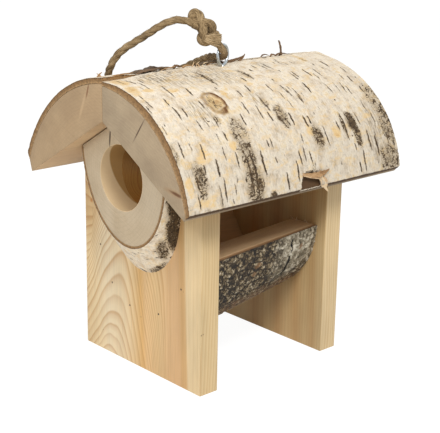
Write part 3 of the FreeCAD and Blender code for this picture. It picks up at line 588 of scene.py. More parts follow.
def birch_wood(name, middle, axis, light, dark, ends=1.0, bore=0.0, stains=()):
    """Sawn birch: fine and even, with rings that hardly show, tiny pores that are dots on the end
    grain and short streaks along the log, and the faint ridges of the band saw. Ends is how bright
    the cross-cut ends of a roof slab are beside its faces, and bore how much of the entrance's wall
    gets a painted highlight, with a painted shadow on its deep part behind a slanting line."""
    made, tree, shader = new_material(name, 0.66)
    place = place_on(tree)
    turn = Vector(axis).to_track_quat("Z", "Y").to_euler()
    along = add(
        tree, "Mapping", {"Vector": place, "Location": middle, "Rotation": turn}, vector_type="TEXTURE"
    )
    cloud = streaks(tree, along, (1 / 26, 1 / 26, 1 / 90), 4.0, 0.6)
    x, y, _ = add(tree, "SeparateXYZ", {0: along}).outputs
    flat = add(tree, "CombineXYZ", {"X": x, "Y": y})
    radius = add(tree, "VectorMath", {0: flat}, operation="LENGTH").outputs["Value"]
    radius = add(tree, "Math", {0: cloud, 1: 5.0, 2: radius}, operation="MULTIPLY_ADD")
    years = add(tree, "Math", {0: radius, 1: 1 / RING_WIDTH}, operation="MULTIPLY")
    ring = add(tree, "Math", {0: years}, operation="FRACT")
    late = add(tree, "ValToRGB", {0: ring}, [(0.0, 0.35), (0.12, 0.0), (0.7, 0.1), (1.0, 1.0)])
    pores = streaks(tree, along, (1 / 0.55, 1 / 0.55, 1 / 14), 3.0, 0.7)
    saw = add(tree, "VectorMath", {0: place, 1: (0.33, 0.05, 0.86)}, operation="DOT_PRODUCT").outputs["Value"]
    saw = add(tree, "Math", {0: cloud, 1: 3.0, 2: saw}, operation="MULTIPLY_ADD")
    saw = add(tree, "TexNoise", {"W": saw, "Scale": 0.9, "Detail": 3.0}, noise_dimensions="1D")
    tone = add(tree, "MapRange", {"Value": cloud, "From Min": 0.32, "From Max": 0.68})
    base = add(tree, "Mix", {"Factor": tone, "A": linear(dark), "B": linear(light)}, data_type="RGBA")
    shade = add(
        tree, "MapRange", {"Value": pores, "From Min": 0.3, "From Max": 0.7, "To Min": 0.9, "To Max": 1.05}
    )
    ringed = add(tree, "MapRange", {"Value": late, "To Min": 1.0, "To Max": 0.93})
    sawn = add(
        tree, "MapRange", {"Value": saw, "From Min": 0.3, "From Max": 0.7, "To Min": 0.96, "To Max": 1.03}
    )
    _, y, z = add(tree, "SeparateXYZ", {0: place}).outputs
    cut = add(tree, "Math", {0: y}, operation="ABSOLUTE")
    cut_ends = {"From Min": -SLAB_END - 0.5, "From Max": -SLAB_END - 0.2, "To Min": 1.0, "To Max": ends}
    cut = add(tree, "MapRange", {"Value": cut, **cut_ends})
    for other in (ringed, sawn, cut):
        shade = add(tree, "Math", {0: shade, 1: other}, operation="MULTIPLY")
    colour = add(tree, "VectorMath", {0: base, "Scale": shade}, operation="SCALE")

    # The wall of the entrance: a painted highlight all over, and a painted shadow behind a slanting line
    bored = bore_wall(tree, place, bore)
    painted_bore_light = add(tree, "Math", {0: bored, 1: 0.7}, operation="MULTIPLY")
    colour = add(tree, "Mix", {"Factor": painted_bore_light, "A": colour, "B": linear("edd0a2")}, data_type="RGBA")
    inwards = add(tree, "Math", {0: z, 1: 0.35, 2: y}, operation="MULTIPLY_ADD")
    shaded = add(tree, "MapRange", {"Value": inwards, "From Min": -32.6, "From Max": -31.4})
    bored = add(tree, "Math", {0: bored, 1: shaded}, operation="MULTIPLY")
    painted_bore_shadow = {"Factor": bored, "A": colour, "B": linear("c3ad86")}
    colour = add(tree, "Mix", painted_bore_shadow, data_type="RGBA", blend_type="MULTIPLY")
    for spot, lean, reach, tint, most in stains:
        laid = {"Vector": place, "Location": spot, "Rotation": (0, lean, 0), "Scale": reach}
        turned = add(tree, "Mapping", laid, vector_type="TEXTURE")
        apart = add(tree, "VectorMath", {0: turned}, operation="LENGTH").outputs["Value"]
        apart = add(tree, "Math", {0: cloud, 1: 0.9, 2: apart}, operation="MULTIPLY_ADD")
        inside = add(tree, "MapRange", {"Value": apart, "From Min": 1.4, "From Max": 0.8, "To Max": most})
        colour = add(tree, "Mix", {"Factor": inside, "A": colour, "B": linear(tint)}, data_type="RGBA")
    height = add(tree, "Math", {0: saw, 1: 0.8, 2: pores}, operation="MULTIPLY_ADD")
    dress(tree, shader, colour, height, 0.5, 0.15)
    return made


# Stains and drying cracks: the middle, the lean, half the size each way, the tint and how strong
RIGHT_STAINS = [
    ((82, SLAB_END, 171), math.radians(7), (13, 3, 3.0), "9a7850", 0.55),
    ((84.5, SLAB_END, 170.6), math.radians(9), (9.5, 3, 1.6), "5a3415", 0.9),
    ((43, SLAB_END, 208), math.radians(-55), (15, 3, 0.95), "4a3524", 1.0),
    ((95, 0, 154), 0.0, (7, 150, 7), "7d6a50", 0.9),
]
LEFT_STAINS = [
    ((-24, SLAB_END, 217), math.radians(-68), (17, 3, 1.8), "cfb089", 0.35),
    ((-17.5, SLAB_END, 229), math.radians(-72), (9, 3, 1.3), "7c5232", 0.85),
]
for side, (across, up), light, dark, ends, stains in (
    ("right", RIGHT_RINGS, "bba586", "a58f73", 0.86, RIGHT_STAINS),
    ("left", LEFT_RINGS, "dcbb90", "c9a880", 0.66, LEFT_STAINS),
):
    slab = trued_copy(f"roof_slab_{side}", f"roof_slab_{side}_sawn", SAWN_EDGE)
    end_grain = birch_wood(f"birch_end_{side}", (across, 0, up), (0, 1, 0), light, dark, ends, stains=stains)
    slab.data.materials.append(end_grain)
    set_down(slab, f"roof_slab_{side}")


# The bark on the right slab: the thin white bark of a young birch, left on when the log was sawn. A
# cream skin lies over 4 to 6 mm of brown bark, with corky lenticels that run round the log, a healed
# branch scar, black cracked places and a strip torn off at the eave.
ROOF_ENDS = (SLAB_END, -SLAB_END)
RIGHT_ARCS = ((0.3, 238.6), (99.5, 158.2), 96.0), ((0.3, 234.7), (95.3, 154.5), 104.2)
RIDGE_RISE, RIDGE_FROM, END_CHIPS = 2.3, -96, 0.8

# A place on the bark is (along, round): Y, and the way down from the ridge. A dash is where it starts
# and its length. The other marks have half their size each way, and dark ones how dark they are.
DASHES = [
    (-98, 5, 15), (-94, 15, 17), (-82, 26, 21), (-109, 42, 13), (-113, 50, 10), (-92.5, 55, 15),
    (-85.5, 57, 11), (-112, 71, 9), (-80, 70, 12), (-73, 68, 10), (-64, 70, 11), (-107, 86, 14),
    (-97.5, 88, 7), (-89, 90, 14), (-70, 84, 9), (-63, 84, 9), (-60, 101, 14), (-80.5, 104, 14),
    (-78, 118, 19), (-83, 122, 17), (-72, 134, 5), (-38, 72, 11), (-36, 104, 21), (-28.5, 61, 13),
    (-23, 48, 10), (-18, 66, 15), (-22, 95, 11), (-15, 124, 15), (-3, 117, 17), (-34, 10, 30),
    (-11, 43, 10), (5, 17, 21), (10, 45, 11), (15, 56, 10), (17, 66, 10), (9, 78, 12), (25, 53, 11),
    (32, 54, 15), (37, 11, 17), (54, 8, 12), (50, 33, 12), (47, 50, 14), (64, 32, 13), (69, 54, 14),
    (75, 33, 14), (78, 55, 15), (85, 56, 14), (88.5, 60, 13), (85.5, 30, 11), (95, 21, 14), (83, 10, 10),
    (105, 37, 11), (101, 50, 10), (22, 82, 12), (26, 83, 9), (37, 93, 21), (61, 86, 25), (78.5, 88, 12),
    (73, 118, 20), (83.5, 104, 18), (91, 109, 19), (96.5, 90, 12), (93, 78, 12), (105, 109, 11),
    (2.5, 109, 14), (8, 106, 14), (14, 113, 12), (16.5, 119, 9), (67, 128, 10), (-46, 100, 38),
    (-51, 104, 34),
]
DARK_PLACES = [
    (-98.5, 117, 4.5, 12, 1.15), (-62, 73, 3, 4, 0.7), (-48, 87, 7, 12, 0.75), (-49, 106, 7, 12, 1.0),
    (-48.5, 128, 8, 15, 1.1), (1, 80, 5, 10, 0.95), (-7, 65, 3, 5, 0.7), (28, 103, 5, 9, 1.15),
    (70, 95, 4.5, 7, 1.7), (72, 107, 3.5, 9, 1.4), (-34, 25, 2.5, 8, 1.0), (-32, 139, 3, 3, 1.4),
    (109, 80, 7, 17, 0.8), (111, 104, 8, 16, 0.85), (104, 130, 11, 11, 0.85), (-114, 95, 3, 8, 0.8),
    (4, 26, 3, 9, 0.8), (60, 96, 2, 8, 0.9),
]
WARM_PLACES = [
    (-78, 37, 8, 4), (58, 43, 5, 3), (-5, 44, 4, 3), (50, 101, 6, 7), (-90, 101, 9, 7), (-97, 32, 6, 4),
    (-106, 10, 8, 12), (-109, 30, 6, 12), (-38, 50, 3, 6), (22, 96, 5, 6), (-68, 107, 1.5, 1.5),
    (90, 93, 7, 3), (83, 12, 4, 9), (-60, 96, 4, 6), (-96, 133, 9, 5), (-110, 120, 4, 10),
]
GREY_PLACES = [
    (-60, 14, 34, 26), (-22, 20, 26, 26), (-78, 14, 16, 14), (35, 14, 8, 12), (-72, 62, 16, 14),
    (-12, 60, 8, 14), (96, 110, 20, 34), (-106, 112, 6, 14),
]
SCAR = (-53, 58, 9.5, 13.0)
TEAR_START, TEAR_END, TEAR_BELOW = 0.5, 20.5, 130.5


def curved(arc, share):
    """Places across and up on an arc, from its first end to its last, and the arc's length."""
    (x0, z0), (x1, z1), radius = arc
    first, last = Vector((x0, z0)), Vector((x1, z1))
    chord = last - first
    inwards = Vector((-chord.y, chord.x)).normalized()
    if inwards.y > 0:
        inwards.negate()
    middle = (first + last) / 2 + inwards * math.sqrt(radius**2 - (chord.length / 2) ** 2)
    start = math.atan2(z0 - middle.y, x0 - middle.x)
    turn = math.atan2(z1 - middle.y, x1 - middle.x) - start
    angle = start + turn * share
    return middle.x + radius * np.cos(angle), middle.y + radius * np.sin(angle), abs(turn) * radius


def flat_sheet(name, across, along, layers):
    """A block of cells from 0 to 1 each way, ready to be bent, and where its points are: u, v, h."""
    bpy.ops.object.select_all(action="DESELECT")
    bpy.ops.mesh.primitive_grid_add(
        x_subdivisions=across, y_subdivisions=along, size=1, location=(0.5, 0.5, 0), calc_uvs=False
    )
    sheet = bpy.context.object
    sheet.name = name
    bpy.ops.object.transform_apply()
    finish_with(sheet, "SOLIDIFY", thickness=1.0, offset=1.0)
    heights = read(sheet.data.vertices, "co", 3)[:, 2]
    ends = read(sheet.data.edges, "vertices", 2, np.int32)
    upright = np.abs(heights[ends[:, 0]] - heights[ends[:, 1]]) > 0.5
    bpy.context.tool_settings.mesh_select_mode = (False, True, False)
    bpy.ops.object.mode_set(mode="EDIT")
    bpy.ops.mesh.select_all(action="DESELECT")
    bpy.ops.object.mode_set(mode="OBJECT")
    sheet.data.edges.foreach_set("select", upright)
    bpy.ops.object.mode_set(mode="EDIT")
    bpy.ops.mesh.subdivide(number_cuts=layers - 1)
    bpy.ops.object.mode_set(mode="OBJECT")
    return sheet, *read(sheet.data.vertices, "co", 3).T.astype(float)


def shape_as(piece, places, **marks):
    """Moves a piece's points, given in millimetres, and writes its marks, which its material reads."""
    mesh = piece.data
    mesh.vertices.foreach_set("co", (np.stack(places, 1) * MM).astype(np.float32).ravel())
    for name, values in marks.items():
        if isinstance(values, tuple):
            made = mesh.attributes.new(name, "FLOAT_VECTOR", "POINT")
            made.data.foreach_set("vector", np.stack(values, 1).astype(np.float32).ravel())
        else:
            mesh.attributes.new(name, "FLOAT", "POINT").data.foreach_set("value", values.astype(np.float32))
    mesh.update()
    select_only(piece)
    bpy.ops.object.mode_set(mode="EDIT")
    bpy.ops.mesh.select_all(action="SELECT")
    bpy.ops.mesh.normals_make_consistent(inside=False)
    bpy.ops.object.mode_set(mode="OBJECT")
    bpy.ops.object.shade_smooth_by_angle(angle=math.radians(50))


def lumps(x, y, seed):
    """Noise at many places at once, about -1 to 1."""
    return np.array([noise.noise(Vector((a, b, seed))) for a, b in zip(x.tolist(), y.tolist())])


def oval(along, round_way, middle, down, half_along, half_round):
    """1 in the middle of an oval, falling to 0 at its edge."""
    away = np.hypot((along - middle) / half_along, (round_way - down) / half_round)
    return np.clip(1 - away, 0, 1)


def dash_distance(along, round_way, dashes, draws):
    """How far each place is from the nearest dash's edge, in millimetres: below 0 inside it. Thin
    dashes and faint ones reach less far below 0."""
    nearest = np.full(len(along), 3.0)
    for middle, start, length in dashes:
        half = length / 2
        wide = draws.uniform(0.3, 0.66) + 0.016 * length
        faint = draws.uniform(0, 0.4)
        near = (np.abs(along - middle) < 4) & (np.abs(round_way - start - half) < half)
        t = (round_way[near] - start - half) / half
        sway = 0.3 * np.sin(round_way[near] * 0.3 + middle) + 0.15 * np.sin(round_way[near] * 1.1)
        away = np.abs(along[near] - middle - sway) - wide * np.sqrt(1 - t * t) + faint
        nearest[near] = np.minimum(nearest[near], away)
    return nearest


def bark_marks(along, round_way, dashes, dark, warm, grey, draws):
    """The marks that the birch bark's material reads, from lists of places."""
    worn = lumps(along / 4, round_way / 6, 1.0)
    rough = np.zeros(len(along))
    for middle, down, half_along, half_round, depth in dark:
        spread = oval(along, round_way, middle, down, half_along * 1.5, half_round * 1.4)
        rough = np.maximum(rough, np.clip(2.2 * spread, 0, 1) * depth)
    rough *= 1 + 0.5 * worn
    stain, pale = np.zeros(len(along)), np.zeros(len(along))
    for place in warm:
        stain += np.clip(2.5 * oval(along, round_way, *place), 0, 1)
    for place in grey:
        pale += np.clip(1.8 * oval(along, round_way, *place), 0, 1)
    return {"marks": (dash_distance(along, round_way, dashes, draws), rough, stain), "grey": pale}


def random_dashes(draws, count, ends, reach):
    """Small lenticels anywhere on the bark, drawn at random."""
    return [(draws.uniform(*ends), draws.uniform(*reach), draws.uniform(3, 11)) for _ in range(count)]


def bark_relief(along, round_way, rough, dash):
    """How far the bark's outside stands off the smooth log: never outwards."""
    lift = 0.45 * lumps(along / 34, round_way / 40, 2.0) + 0.3 * lumps(along / 9, round_way / 14, 3.0)
    lift += 0.12 * lumps(along / 2.4, round_way / 5, 4.0) - 0.75
    lift += np.clip(rough, 0, 1.2) * (0.7 * lumps(along / 2.6, round_way / 1.6, 6.0) - 0.1)
    return np.minimum(lift - 0.25 * np.clip(0.6 - dash, 0, 1), 0)


def ragged_ends(along, v, round_way, h, most):
    """Places along, with the two cross-cut ends chipped by the saw."""
    chips = np.abs(lumps(round_way / 3.0, h * 2.0, 8.0)) + 0.5 * np.abs(lumps(round_way / 0.9, h * 3.0, 9.0))
    return along + np.where(np.minimum(v, 1 - v) < 1e-4, np.sign(0.5 - v) * chips * most, 0)


def frayed(u, along, h, seed):
    """How far the bark's sawn edge at the eave is chipped."""
    return np.where(u > 0.9999, np.abs(lumps(along / 2.0, h * 2.0, seed)), 0)


def slab_sheet(name, cells, arcs):
    """A sheet for a slab's bark, its u, v and h, and where its points are along and round the log."""
    sheet, u, v, h = flat_sheet(name, cells, 350, 4)
    along = ROOF_ENDS[0] + (ROOF_ENDS[1] - ROOF_ENDS[0]) * v
    return sheet, u, v, h, along, curved(arcs[0], u)[2] * u


def between(arcs, u, rise, h, lift):
    """Places across and up between the bark's outer and inner arc, its outside lifted by that much."""
    (outer_x, outer_z, _), (inner_x, inner_z, _) = (curved(arc, u) for arc in arcs)
    reach = np.hypot(outer_x - inner_x, outer_z - inner_z)
    x = inner_x + (outer_x - inner_x) * rise + (outer_x - inner_x) / reach * lift * h
    z = inner_z + (outer_z - inner_z) * rise + (outer_z - inner_z) / reach * lift * h
    return x, z


def birch_bark(name):
    """Young birch bark: a satin cream skin, finely streaked round the log, with dark corky lenticels
    and cracks, and dull brown bark where it is sawn through or torn."""
    made, tree, shader = new_material(name, 0.7)
    shader.inputs["Specular IOR Level"].default_value = 0.3
    lay = add(tree, "Attribute", attribute_name="lay").outputs["Vector"]
    down, _, depth = add(tree, "SeparateXYZ", {0: lay}).outputs
    marks = add(tree, "Attribute", attribute_name="marks").outputs["Vector"]
    from_dash, rough, stained = add(tree, "SeparateXYZ", {0: marks}).outputs
    grey = add(tree, "Attribute", attribute_name="grey").outputs["Fac"]
    scar = add(tree, "Attribute", attribute_name="scar").outputs["Fac"]
    flakes = {"Scale": 1 / 2.0, "Detail": 6.0, "Roughness": 0.7, "Distortion": 0.6}
    flake = add(tree, "TexNoise", {"Vector": place_on(tree), **flakes})

    # The skin: cream and grey-white clouds, hairlines round the log, grey smears and honey stains
    cloud = streaks(tree, lay, (1 / 12, 1 / 9, 0), 8.0, 0.7)
    tints = [(0.26, "9d896e"), (0.36, "c9b89f"), (0.44, "decfb9")]
    tints += [(0.55, "ebdfcb"), (0.65, "e5cfa8"), (0.76, "d3b078")]
    skin = add(tree, "ValToRGB", {0: cloud}, tints)
    hairline = streaks(tree, lay, (1 / 8, 1 / 0.9, 0), 5.0, 0.68)
    light = add(
        tree, "MapRange", {"Value": hairline, "From Min": 0.3, "From Max": 0.6, "To Min": 0.82, "To Max": 1.04}
    )
    specked = add(
        tree, "MapRange", {"Value": flake, "From Min": 0.3, "From Max": 0.48, "To Min": 0.66, "To Max": 1.0}
    )
    # Painted light: the skin is brighter near the ridge and darker down towards the eave
    painted_ridge_light = add(
        tree, "MapRange", {"Value": down, "From Min": 10, "From Max": 110, "To Min": 1.1, "To Max": 0.83}
    )
    for other in (specked, painted_ridge_light):
        light = add(tree, "Math", {0: light, 1: other}, operation="MULTIPLY")
    skin = add(tree, "VectorMath", {0: skin, "Scale": light}, operation="SCALE")
    smear = streaks(tree, lay, (1 / 8, 1 / 1.5, 0), 5.0, 0.7)
    smear = add(tree, "MapRange", {"Value": smear, "From Min": 0.55, "From Max": 0.38, "To Max": 0.85})
    smear = add(tree, "Math", {0: smear, 1: grey}, operation="MULTIPLY")
    seep = streaks(tree, lay, (1 / 6, 1 / 10, 0), 6.0, 0.65, 0.7)
    seep = add(tree, "Math", {0: stained, 1: 0.22, 2: seep}, operation="MULTIPLY_ADD")
    honey = add(tree, "MapRange", {"Value": seep, "From Min": 0.5, "From Max": 0.74, "To Max": 0.75})
    amber = add(tree, "MapRange", {"Value": seep, "From Min": 0.78, "From Max": 0.92, "To Max": 0.8})
    dingy = add(tree, "MapRange", {"Value": rough, "From Max": 1.0, "To Max": 0.62})
    for much, tint in ((smear, "85765f"), (honey, "dcb878"), (amber, "b17f43"), (dingy, "a08b6a")):
        skin = add(tree, "Mix", {"Factor": much, "A": skin, "B": linear(tint)}, data_type="RGBA")

    # Small lenticels all over: in each cell one thin dash, longer or shorter by chance
    cells = add(tree, "VectorMath", {0: lay, 1: (1 / 22, 1 / 2.6, 0)}, operation="MULTIPLY")
    cells = add(tree, "TexVoronoi", {"Vector": cells, "Scale": 1.0})
    chance = add(tree, "MapRange", {"Value": cells.outputs["Color"], "From Min": 0.3, "To Max": 0.2})
    small = add(tree, "Math", {0: chance, 1: cells.outputs["Distance"]}, operation="SUBTRACT")
    small = add(tree, "MapRange", {"Value": small, "From Max": 0.1, "To Max": 0.45})

    # Lenticels at listed places, with soft corky edges
    edge = add(tree, "Math", {0: flake, 1: 0.5}, operation="SUBTRACT")
    edge = add(tree, "Math", {0: edge, 1: 1.8, 2: from_dash}, operation="MULTIPLY_ADD")
    dash = add(tree, "MapRange", {"Value": edge, "From Min": 0.5, "From Max": -0.2, "To Max": 1.0})

    # Dark places: cork that has burst the skin, in smudges round the log and cracks along it
    swirl = add(tree, "TexNoise", {"Vector": lay, "Scale": 1 / 5, "Detail": 3.0})
    swirl = add(tree, "VectorMath", {0: swirl.outputs["Color"], "Scale": 7.0}, operation="SCALE")
    bent = add(tree, "VectorMath", {0: lay, 1: swirl}, operation="ADD")
    bent = add(tree, "VectorMath", {0: bent, 1: (1 / 2.2, 1 / 3.2, 0)}, operation="MULTIPLY")
    network = add(tree, "TexVoronoi", {"Vector": bent, "Scale": 1.0}, feature="DISTANCE_TO_EDGE")
    reach = add(tree, "TexNoise", {"Vector": lay, "Scale": 1 / 4, "Detail": 3.0})
    reach = add(tree, "Math", {0: rough, 1: 0.4, 2: reach}, operation="MULTIPLY_ADD")
    crack = add(tree, "Math", {0: network, 1: -2.5, 2: reach}, operation="MULTIPLY_ADD")
    crack = add(tree, "MapRange", {"Value": crack, "From Min": 0.62, "From Max": 0.74, "To Max": 1.0})
    smudge = streaks(tree, lay, (1 / 4.5, 1 / 1.7, 0), 5.0, 0.65)
    smudge = add(tree, "Math", {0: rough, 1: 0.28, 2: smudge}, operation="MULTIPLY_ADD")
    dark = add(tree, "MapRange", {"Value": smudge, "From Min": 0.78, "From Max": 0.98, "To Max": 1.0})
    for other in (crack, dash, small):
        dark = add(tree, "Math", {0: dark, 1: other}, operation="MAXIMUM")
    cork = add(tree, "MapRange", {"Value": flake, "From Min": 0.35, "From Max": 0.65})
    cork = add(tree, "Mix", {"Factor": cork, "A": linear("1d1409"), "B": linear("644f35")}, data_type="RGBA")
    skin = add(tree, "Mix", {"Factor": dark, "A": skin, "B": cork}, data_type="RGBA")
    healed = add(tree, "MapRange", {"Value": flake, "From Min": 0.3, "From Max": 0.45})
    healed = add(tree, "Math", {0: scar, 1: healed}, operation="MULTIPLY")
    skin = add(tree, "Mix", {"Factor": healed, "A": skin, "B": linear("603c1e")}, data_type="RGBA")

    # Bark that is cut through: tan against the wood, brown in the middle, darker under the skin
    under = add(tree, "Math", {0: flake, 1: 0.12, 2: depth}, operation="MULTIPLY_ADD")
    tints = [(0.0, "c4a47a"), (0.14, "a6845c"), (0.5, "91704a"), (0.85, "8a6842"), (0.98, "452f1b")]
    inner = add(tree, "ValToRGB", {0: under}, tints)
    crumb = add(
        tree, "MapRange", {"Value": flake, "From Min": 0.3, "From Max": 0.7, "To Min": 0.5, "To Max": 1.4}
    )
    inner = add(tree, "VectorMath", {0: inner, "Scale": crumb}, operation="SCALE")
    outside = add(tree, "MapRange", {"Value": under, "From Min": 0.99, "From Max": 1.02})
    colour = add(tree, "Mix", {"Factor": outside, "A": inner, "B": skin}, data_type="RGBA")
    height = add(tree, "Math", {0: dark, 1: -0.5, 2: flake}, operation="MULTIPLY_ADD")
    height = add(tree, "Math", {0: hairline, 1: 0.4, 2: height}, operation="MULTIPLY_ADD")
    dress(tree, shader, colour, height, 0.6, 0.35)
    return made


white_bark = birch_bark("birch_bark_white")
draws = random.Random(11)
right_bark, u, v, h, along, round_way = slab_sheet("roof_bark_right", 118, RIGHT_ARCS)
dashes = DASHES + random_dashes(draws, 70, (-113, 113), (2, 130))
marks = bark_marks(along, round_way, dashes, DARK_PLACES, WARM_PLACES, GREY_PLACES, draws)
dash, rough, stain = marks["marks"]

# The scar: bark healed over a branch, with a raised ring that is darker on its right
from_scar = np.hypot((along - SCAR[0]) / SCAR[2], (round_way - SCAR[1]) / SCAR[3])
from_scar += 0.18 * lumps(along / 4, round_way / 4, 15.0)
on_right = np.clip(0.75 + (along - SCAR[0]) / 16, 0.55, 1)
ring = np.clip(1.4 - 6 * np.abs(from_scar - 0.85), 0, 1) * on_right
healed = np.clip(4 * (0.75 - from_scar), 0, 1)
rough, stain = np.maximum(rough, 0.62 * healed), stain + 1.5 * np.clip(healed + ring, 0, 1)

# The tear: thinner bark below an uneven edge
torn_above = TEAR_BELOW - 3.5 + 1.2 * lumps(along / 2.5, along * 0, 5.0)
torn_above += 3.5 * np.abs((along - (TEAR_START + 10)) / 10) ** 3
torn_side = 1.5 * lumps(round_way / 2.5, round_way * 0, 6.0) - 0.3 * (round_way - TEAR_BELOW)
torn = (along > TEAR_START + torn_side) & (along < TEAR_END) & (round_way > torn_above)
lift = bark_relief(along, round_way, rough, dash) + (0.8 * ring - 0.5 * healed)
x, z = between(RIGHT_ARCS, u, np.where(torn, 0.3 * h, h), h, np.where(torn, -0.3, lift))
lifted = np.clip((along - RIDGE_FROM) / 26, 0, 1) * np.clip(1 - round_way / 24, 0, 1) ** 2
z += h * lifted * (RIDGE_RISE + 0.5 * lumps(along / 5, along * 0, 41.0))
eave = frayed(u, along, h, 12.0)
deep = np.where(u > 0.9999, np.maximum(h, 0.9), np.where(torn, 0.9 * h, h))
marks["marks"] = (dash, rough, stain)
places = (x - 0.3 * eave, ragged_ends(along, v, round_way, h, END_CHIPS), z + 0.7 * eave)
shape_as(right_bark, places, lay=(round_way, along, deep), scar=ring, **marks)
right_bark.data.materials.append(white_bark)
set_down(right_bark, "roof_bark_right")


# The bark on the left slab came off another length of the same birch. At the front it stands 3 mm
# higher at the ridge, so its sawn edge shows there as a brown lip; further back the right one rises.
LEFT_ARCS = ((-0.3, 241.6), (-102.1, 165.4), 120.4), ((-0.3, 236.2), (-98.9, 160.7), 113.8)
RIDGE_DROP = 2.0
LEFT_DARK = [
    (-80, 60, 5, 16, 1.1), (-30, 95, 7, 22, 1.0), (18, 40, 5, 12, 1.1), (62, 80, 8, 24, 1.0),
    (98, 30, 6, 18, 0.9), (-105, 110, 8, 14, 0.8), (36, 112, 6, 12, 1.2), (-60, 12, 24, 9, 1.3),
    (40, 10, 30, 7, 0.8),
]
LEFT_WARM = [
    (-70, 90, 8, 6), (0, 70, 6, 8), (80, 112, 9, 6), (-20, 4, 60, 4), (-95, 20, 9, 7), (50, 60, 5, 7),
]
LEFT_GREY = [(-50, 20, 40, 26), (30, 90, 30, 30), (-100, 70, 20, 40), (90, 60, 25, 40)]

draws = random.Random(23)
left_bark, u, v, h, along, round_way = slab_sheet("roof_bark_left", 112, LEFT_ARCS)
dashes = random_dashes(draws, 190, (-113, 113), (2, 118))
marks = bark_marks(along, round_way, dashes, LEFT_DARK, LEFT_WARM, LEFT_GREY, draws)
dash, rough, _ = marks["marks"]
x, z = between(LEFT_ARCS, u, h, h, bark_relief(along, round_way, rough, dash))
x -= 1.5 * np.where((u < 1e-4) & (h > 0.6), np.abs(lumps(along / 3.0, h, 31.0)), 0)
z -= RIDGE_DROP * h * np.clip((along - RIDGE_FROM) / 26, 0, 1) * np.clip(1 - round_way / 30, 0, 1)
eave = frayed(u, along, h, 13.0)
places = (x + 0.3 * eave, ragged_ends(along, v, round_way, h, END_CHIPS), z + 0.7 * eave)
shape_as(left_bark, places, lay=(round_way, along, h), scar=0 * h, **marks)
left_bark.data.materials.append(white_bark)
set_down(left_bark, "roof_bark_left")


# The slice of a birch log round the entrance. The log was cut at a slant, so the slice's outline is
# an ellipse, 102 by 144 mm, that moves up and to the right from the board to the face. Its thin bark is
# left on, and slice and bark are cut to the gable under the roof.
BLOCK_MIDDLE, BLOCK_HALVES, BLOCK_TILT = (-3.0, 154.8), (51.0, 72.0), math.radians(11.5)
BLOCK_SHIFT, BLOCK_DEPTH, BLOCK_BARK = (6.6, 25.3), 21.0, 2.6
GABLE_TOP, GABLE_SLOPE = 206.8, 0.5961
LOG_WAY = Vector((BLOCK_SHIFT[0], -BLOCK_DEPTH, BLOCK_SHIFT[1])).normalized()
BLOCK_CRACK = ((-10.3, -100, 193), math.radians(5), (1.15, 4, 11), "3c2918", 1.0)
BLOCK_ROUND, BLOCK_RELIEF = 61.0, 0.5
RING_DARK = [
    (-75, 1, 18, 4, 1.0), (-38, 5, 15, 12, 1.8), (-20, 9, 18, 13, 1.8), (8, 8, 16, 12, 1.7),
    (-58, 9, 10, 9, 1.2), (-140, 4, 14, 7, 1.1), (-185, 12, 12, 7, 1.0),
]

block_wood = trued_copy("entrance_block", "entrance_block_sawn", SAWN_EDGE)
log_middle = (BLOCK_MIDDLE[0], FRONT_FACE, BLOCK_MIDDLE[1])
slice_wood = birch_wood(
    "birch_slice", log_middle, LOG_WAY, "cfbc9f", "bfaa8b", bore=1.0, stains=[BLOCK_CRACK]
)
block_wood.data.materials.append(slice_wood)
set_down(block_wood, "entrance_block")


def ring_place(angle, inset, forwards):
    """Places on the slanted log's outline: across, and up."""
    short = (BLOCK_HALVES[0] - inset) * np.cos(angle)
    long = (BLOCK_HALVES[1] - inset) * np.sin(angle)
    lean, rise = math.cos(BLOCK_TILT), math.sin(BLOCK_TILT)
    x = BLOCK_MIDDLE[0] + BLOCK_SHIFT[0] * forwards + short * lean - long * rise
    z = BLOCK_MIDDLE[1] + BLOCK_SHIFT[1] * forwards + short * rise + long * lean
    return x, z


def gable_angle(inset, forwards, low, high):
    """Where the outline meets the gable, between an angle below it and one above it."""
    low, high = np.full(len(inset), low), np.full(len(inset), high)
    for _ in range(40):
        middle = (low + high) / 2
        x, z = ring_place(middle, inset, forwards)
        below = z < GABLE_TOP - GABLE_SLOPE * np.abs(x)
        low, high = np.where(below, middle, low), np.where(below, high, middle)
    return low


draws = random.Random(5)
ring, u, v, h = flat_sheet("entrance_bark_ring", 300, 34, 3)
inset = BLOCK_BARK * (1 - h)
first = gable_angle(inset, v, math.radians(-90), math.radians(90))
last = gable_angle(inset, v, math.radians(-90), math.radians(-270))
angle = first + (last - first) * u
x, z = ring_place(angle, inset, v)
y = FRONT_FACE - BLOCK_DEPTH * v
lengthwise = LOG_WAY.x * x + LOG_WAY.y * y + LOG_WAY.z * z
around = BLOCK_ROUND * angle
dashes = random_dashes(draws, 150, (lengthwise.min(), lengthwise.max()), (around.min(), around.max()))
marks = bark_marks(lengthwise, around, dashes, [], [], [], draws)
dash, rough, stain = marks["marks"]
for *spot, depth in RING_DARK:
    spread = oval(np.degrees(angle), BLOCK_DEPTH * v, *spot)
    rough = np.maximum(rough, np.clip(2 * spread, 0, 1) * depth)
marks["marks"] = (dash, rough, stain)
lift = BLOCK_RELIEF * bark_relief(lengthwise, around, rough, dash)
out_x, out_z = np.cos(angle + BLOCK_TILT), np.sin(angle + BLOCK_TILT)
x, z = x + out_x * lift * h, z + out_z * lift * h
y = y + np.where(v > 0.9999, 0.5 * np.abs(lumps(around / 2.5, h * 2.0, 8.0)), 0)
shape_as(ring, (x, y, z), lay=(around, lengthwise, h), scar=0 * h, **marks)
ring.data.materials.append(white_bark)
set_down(ring, "entrance_bark")


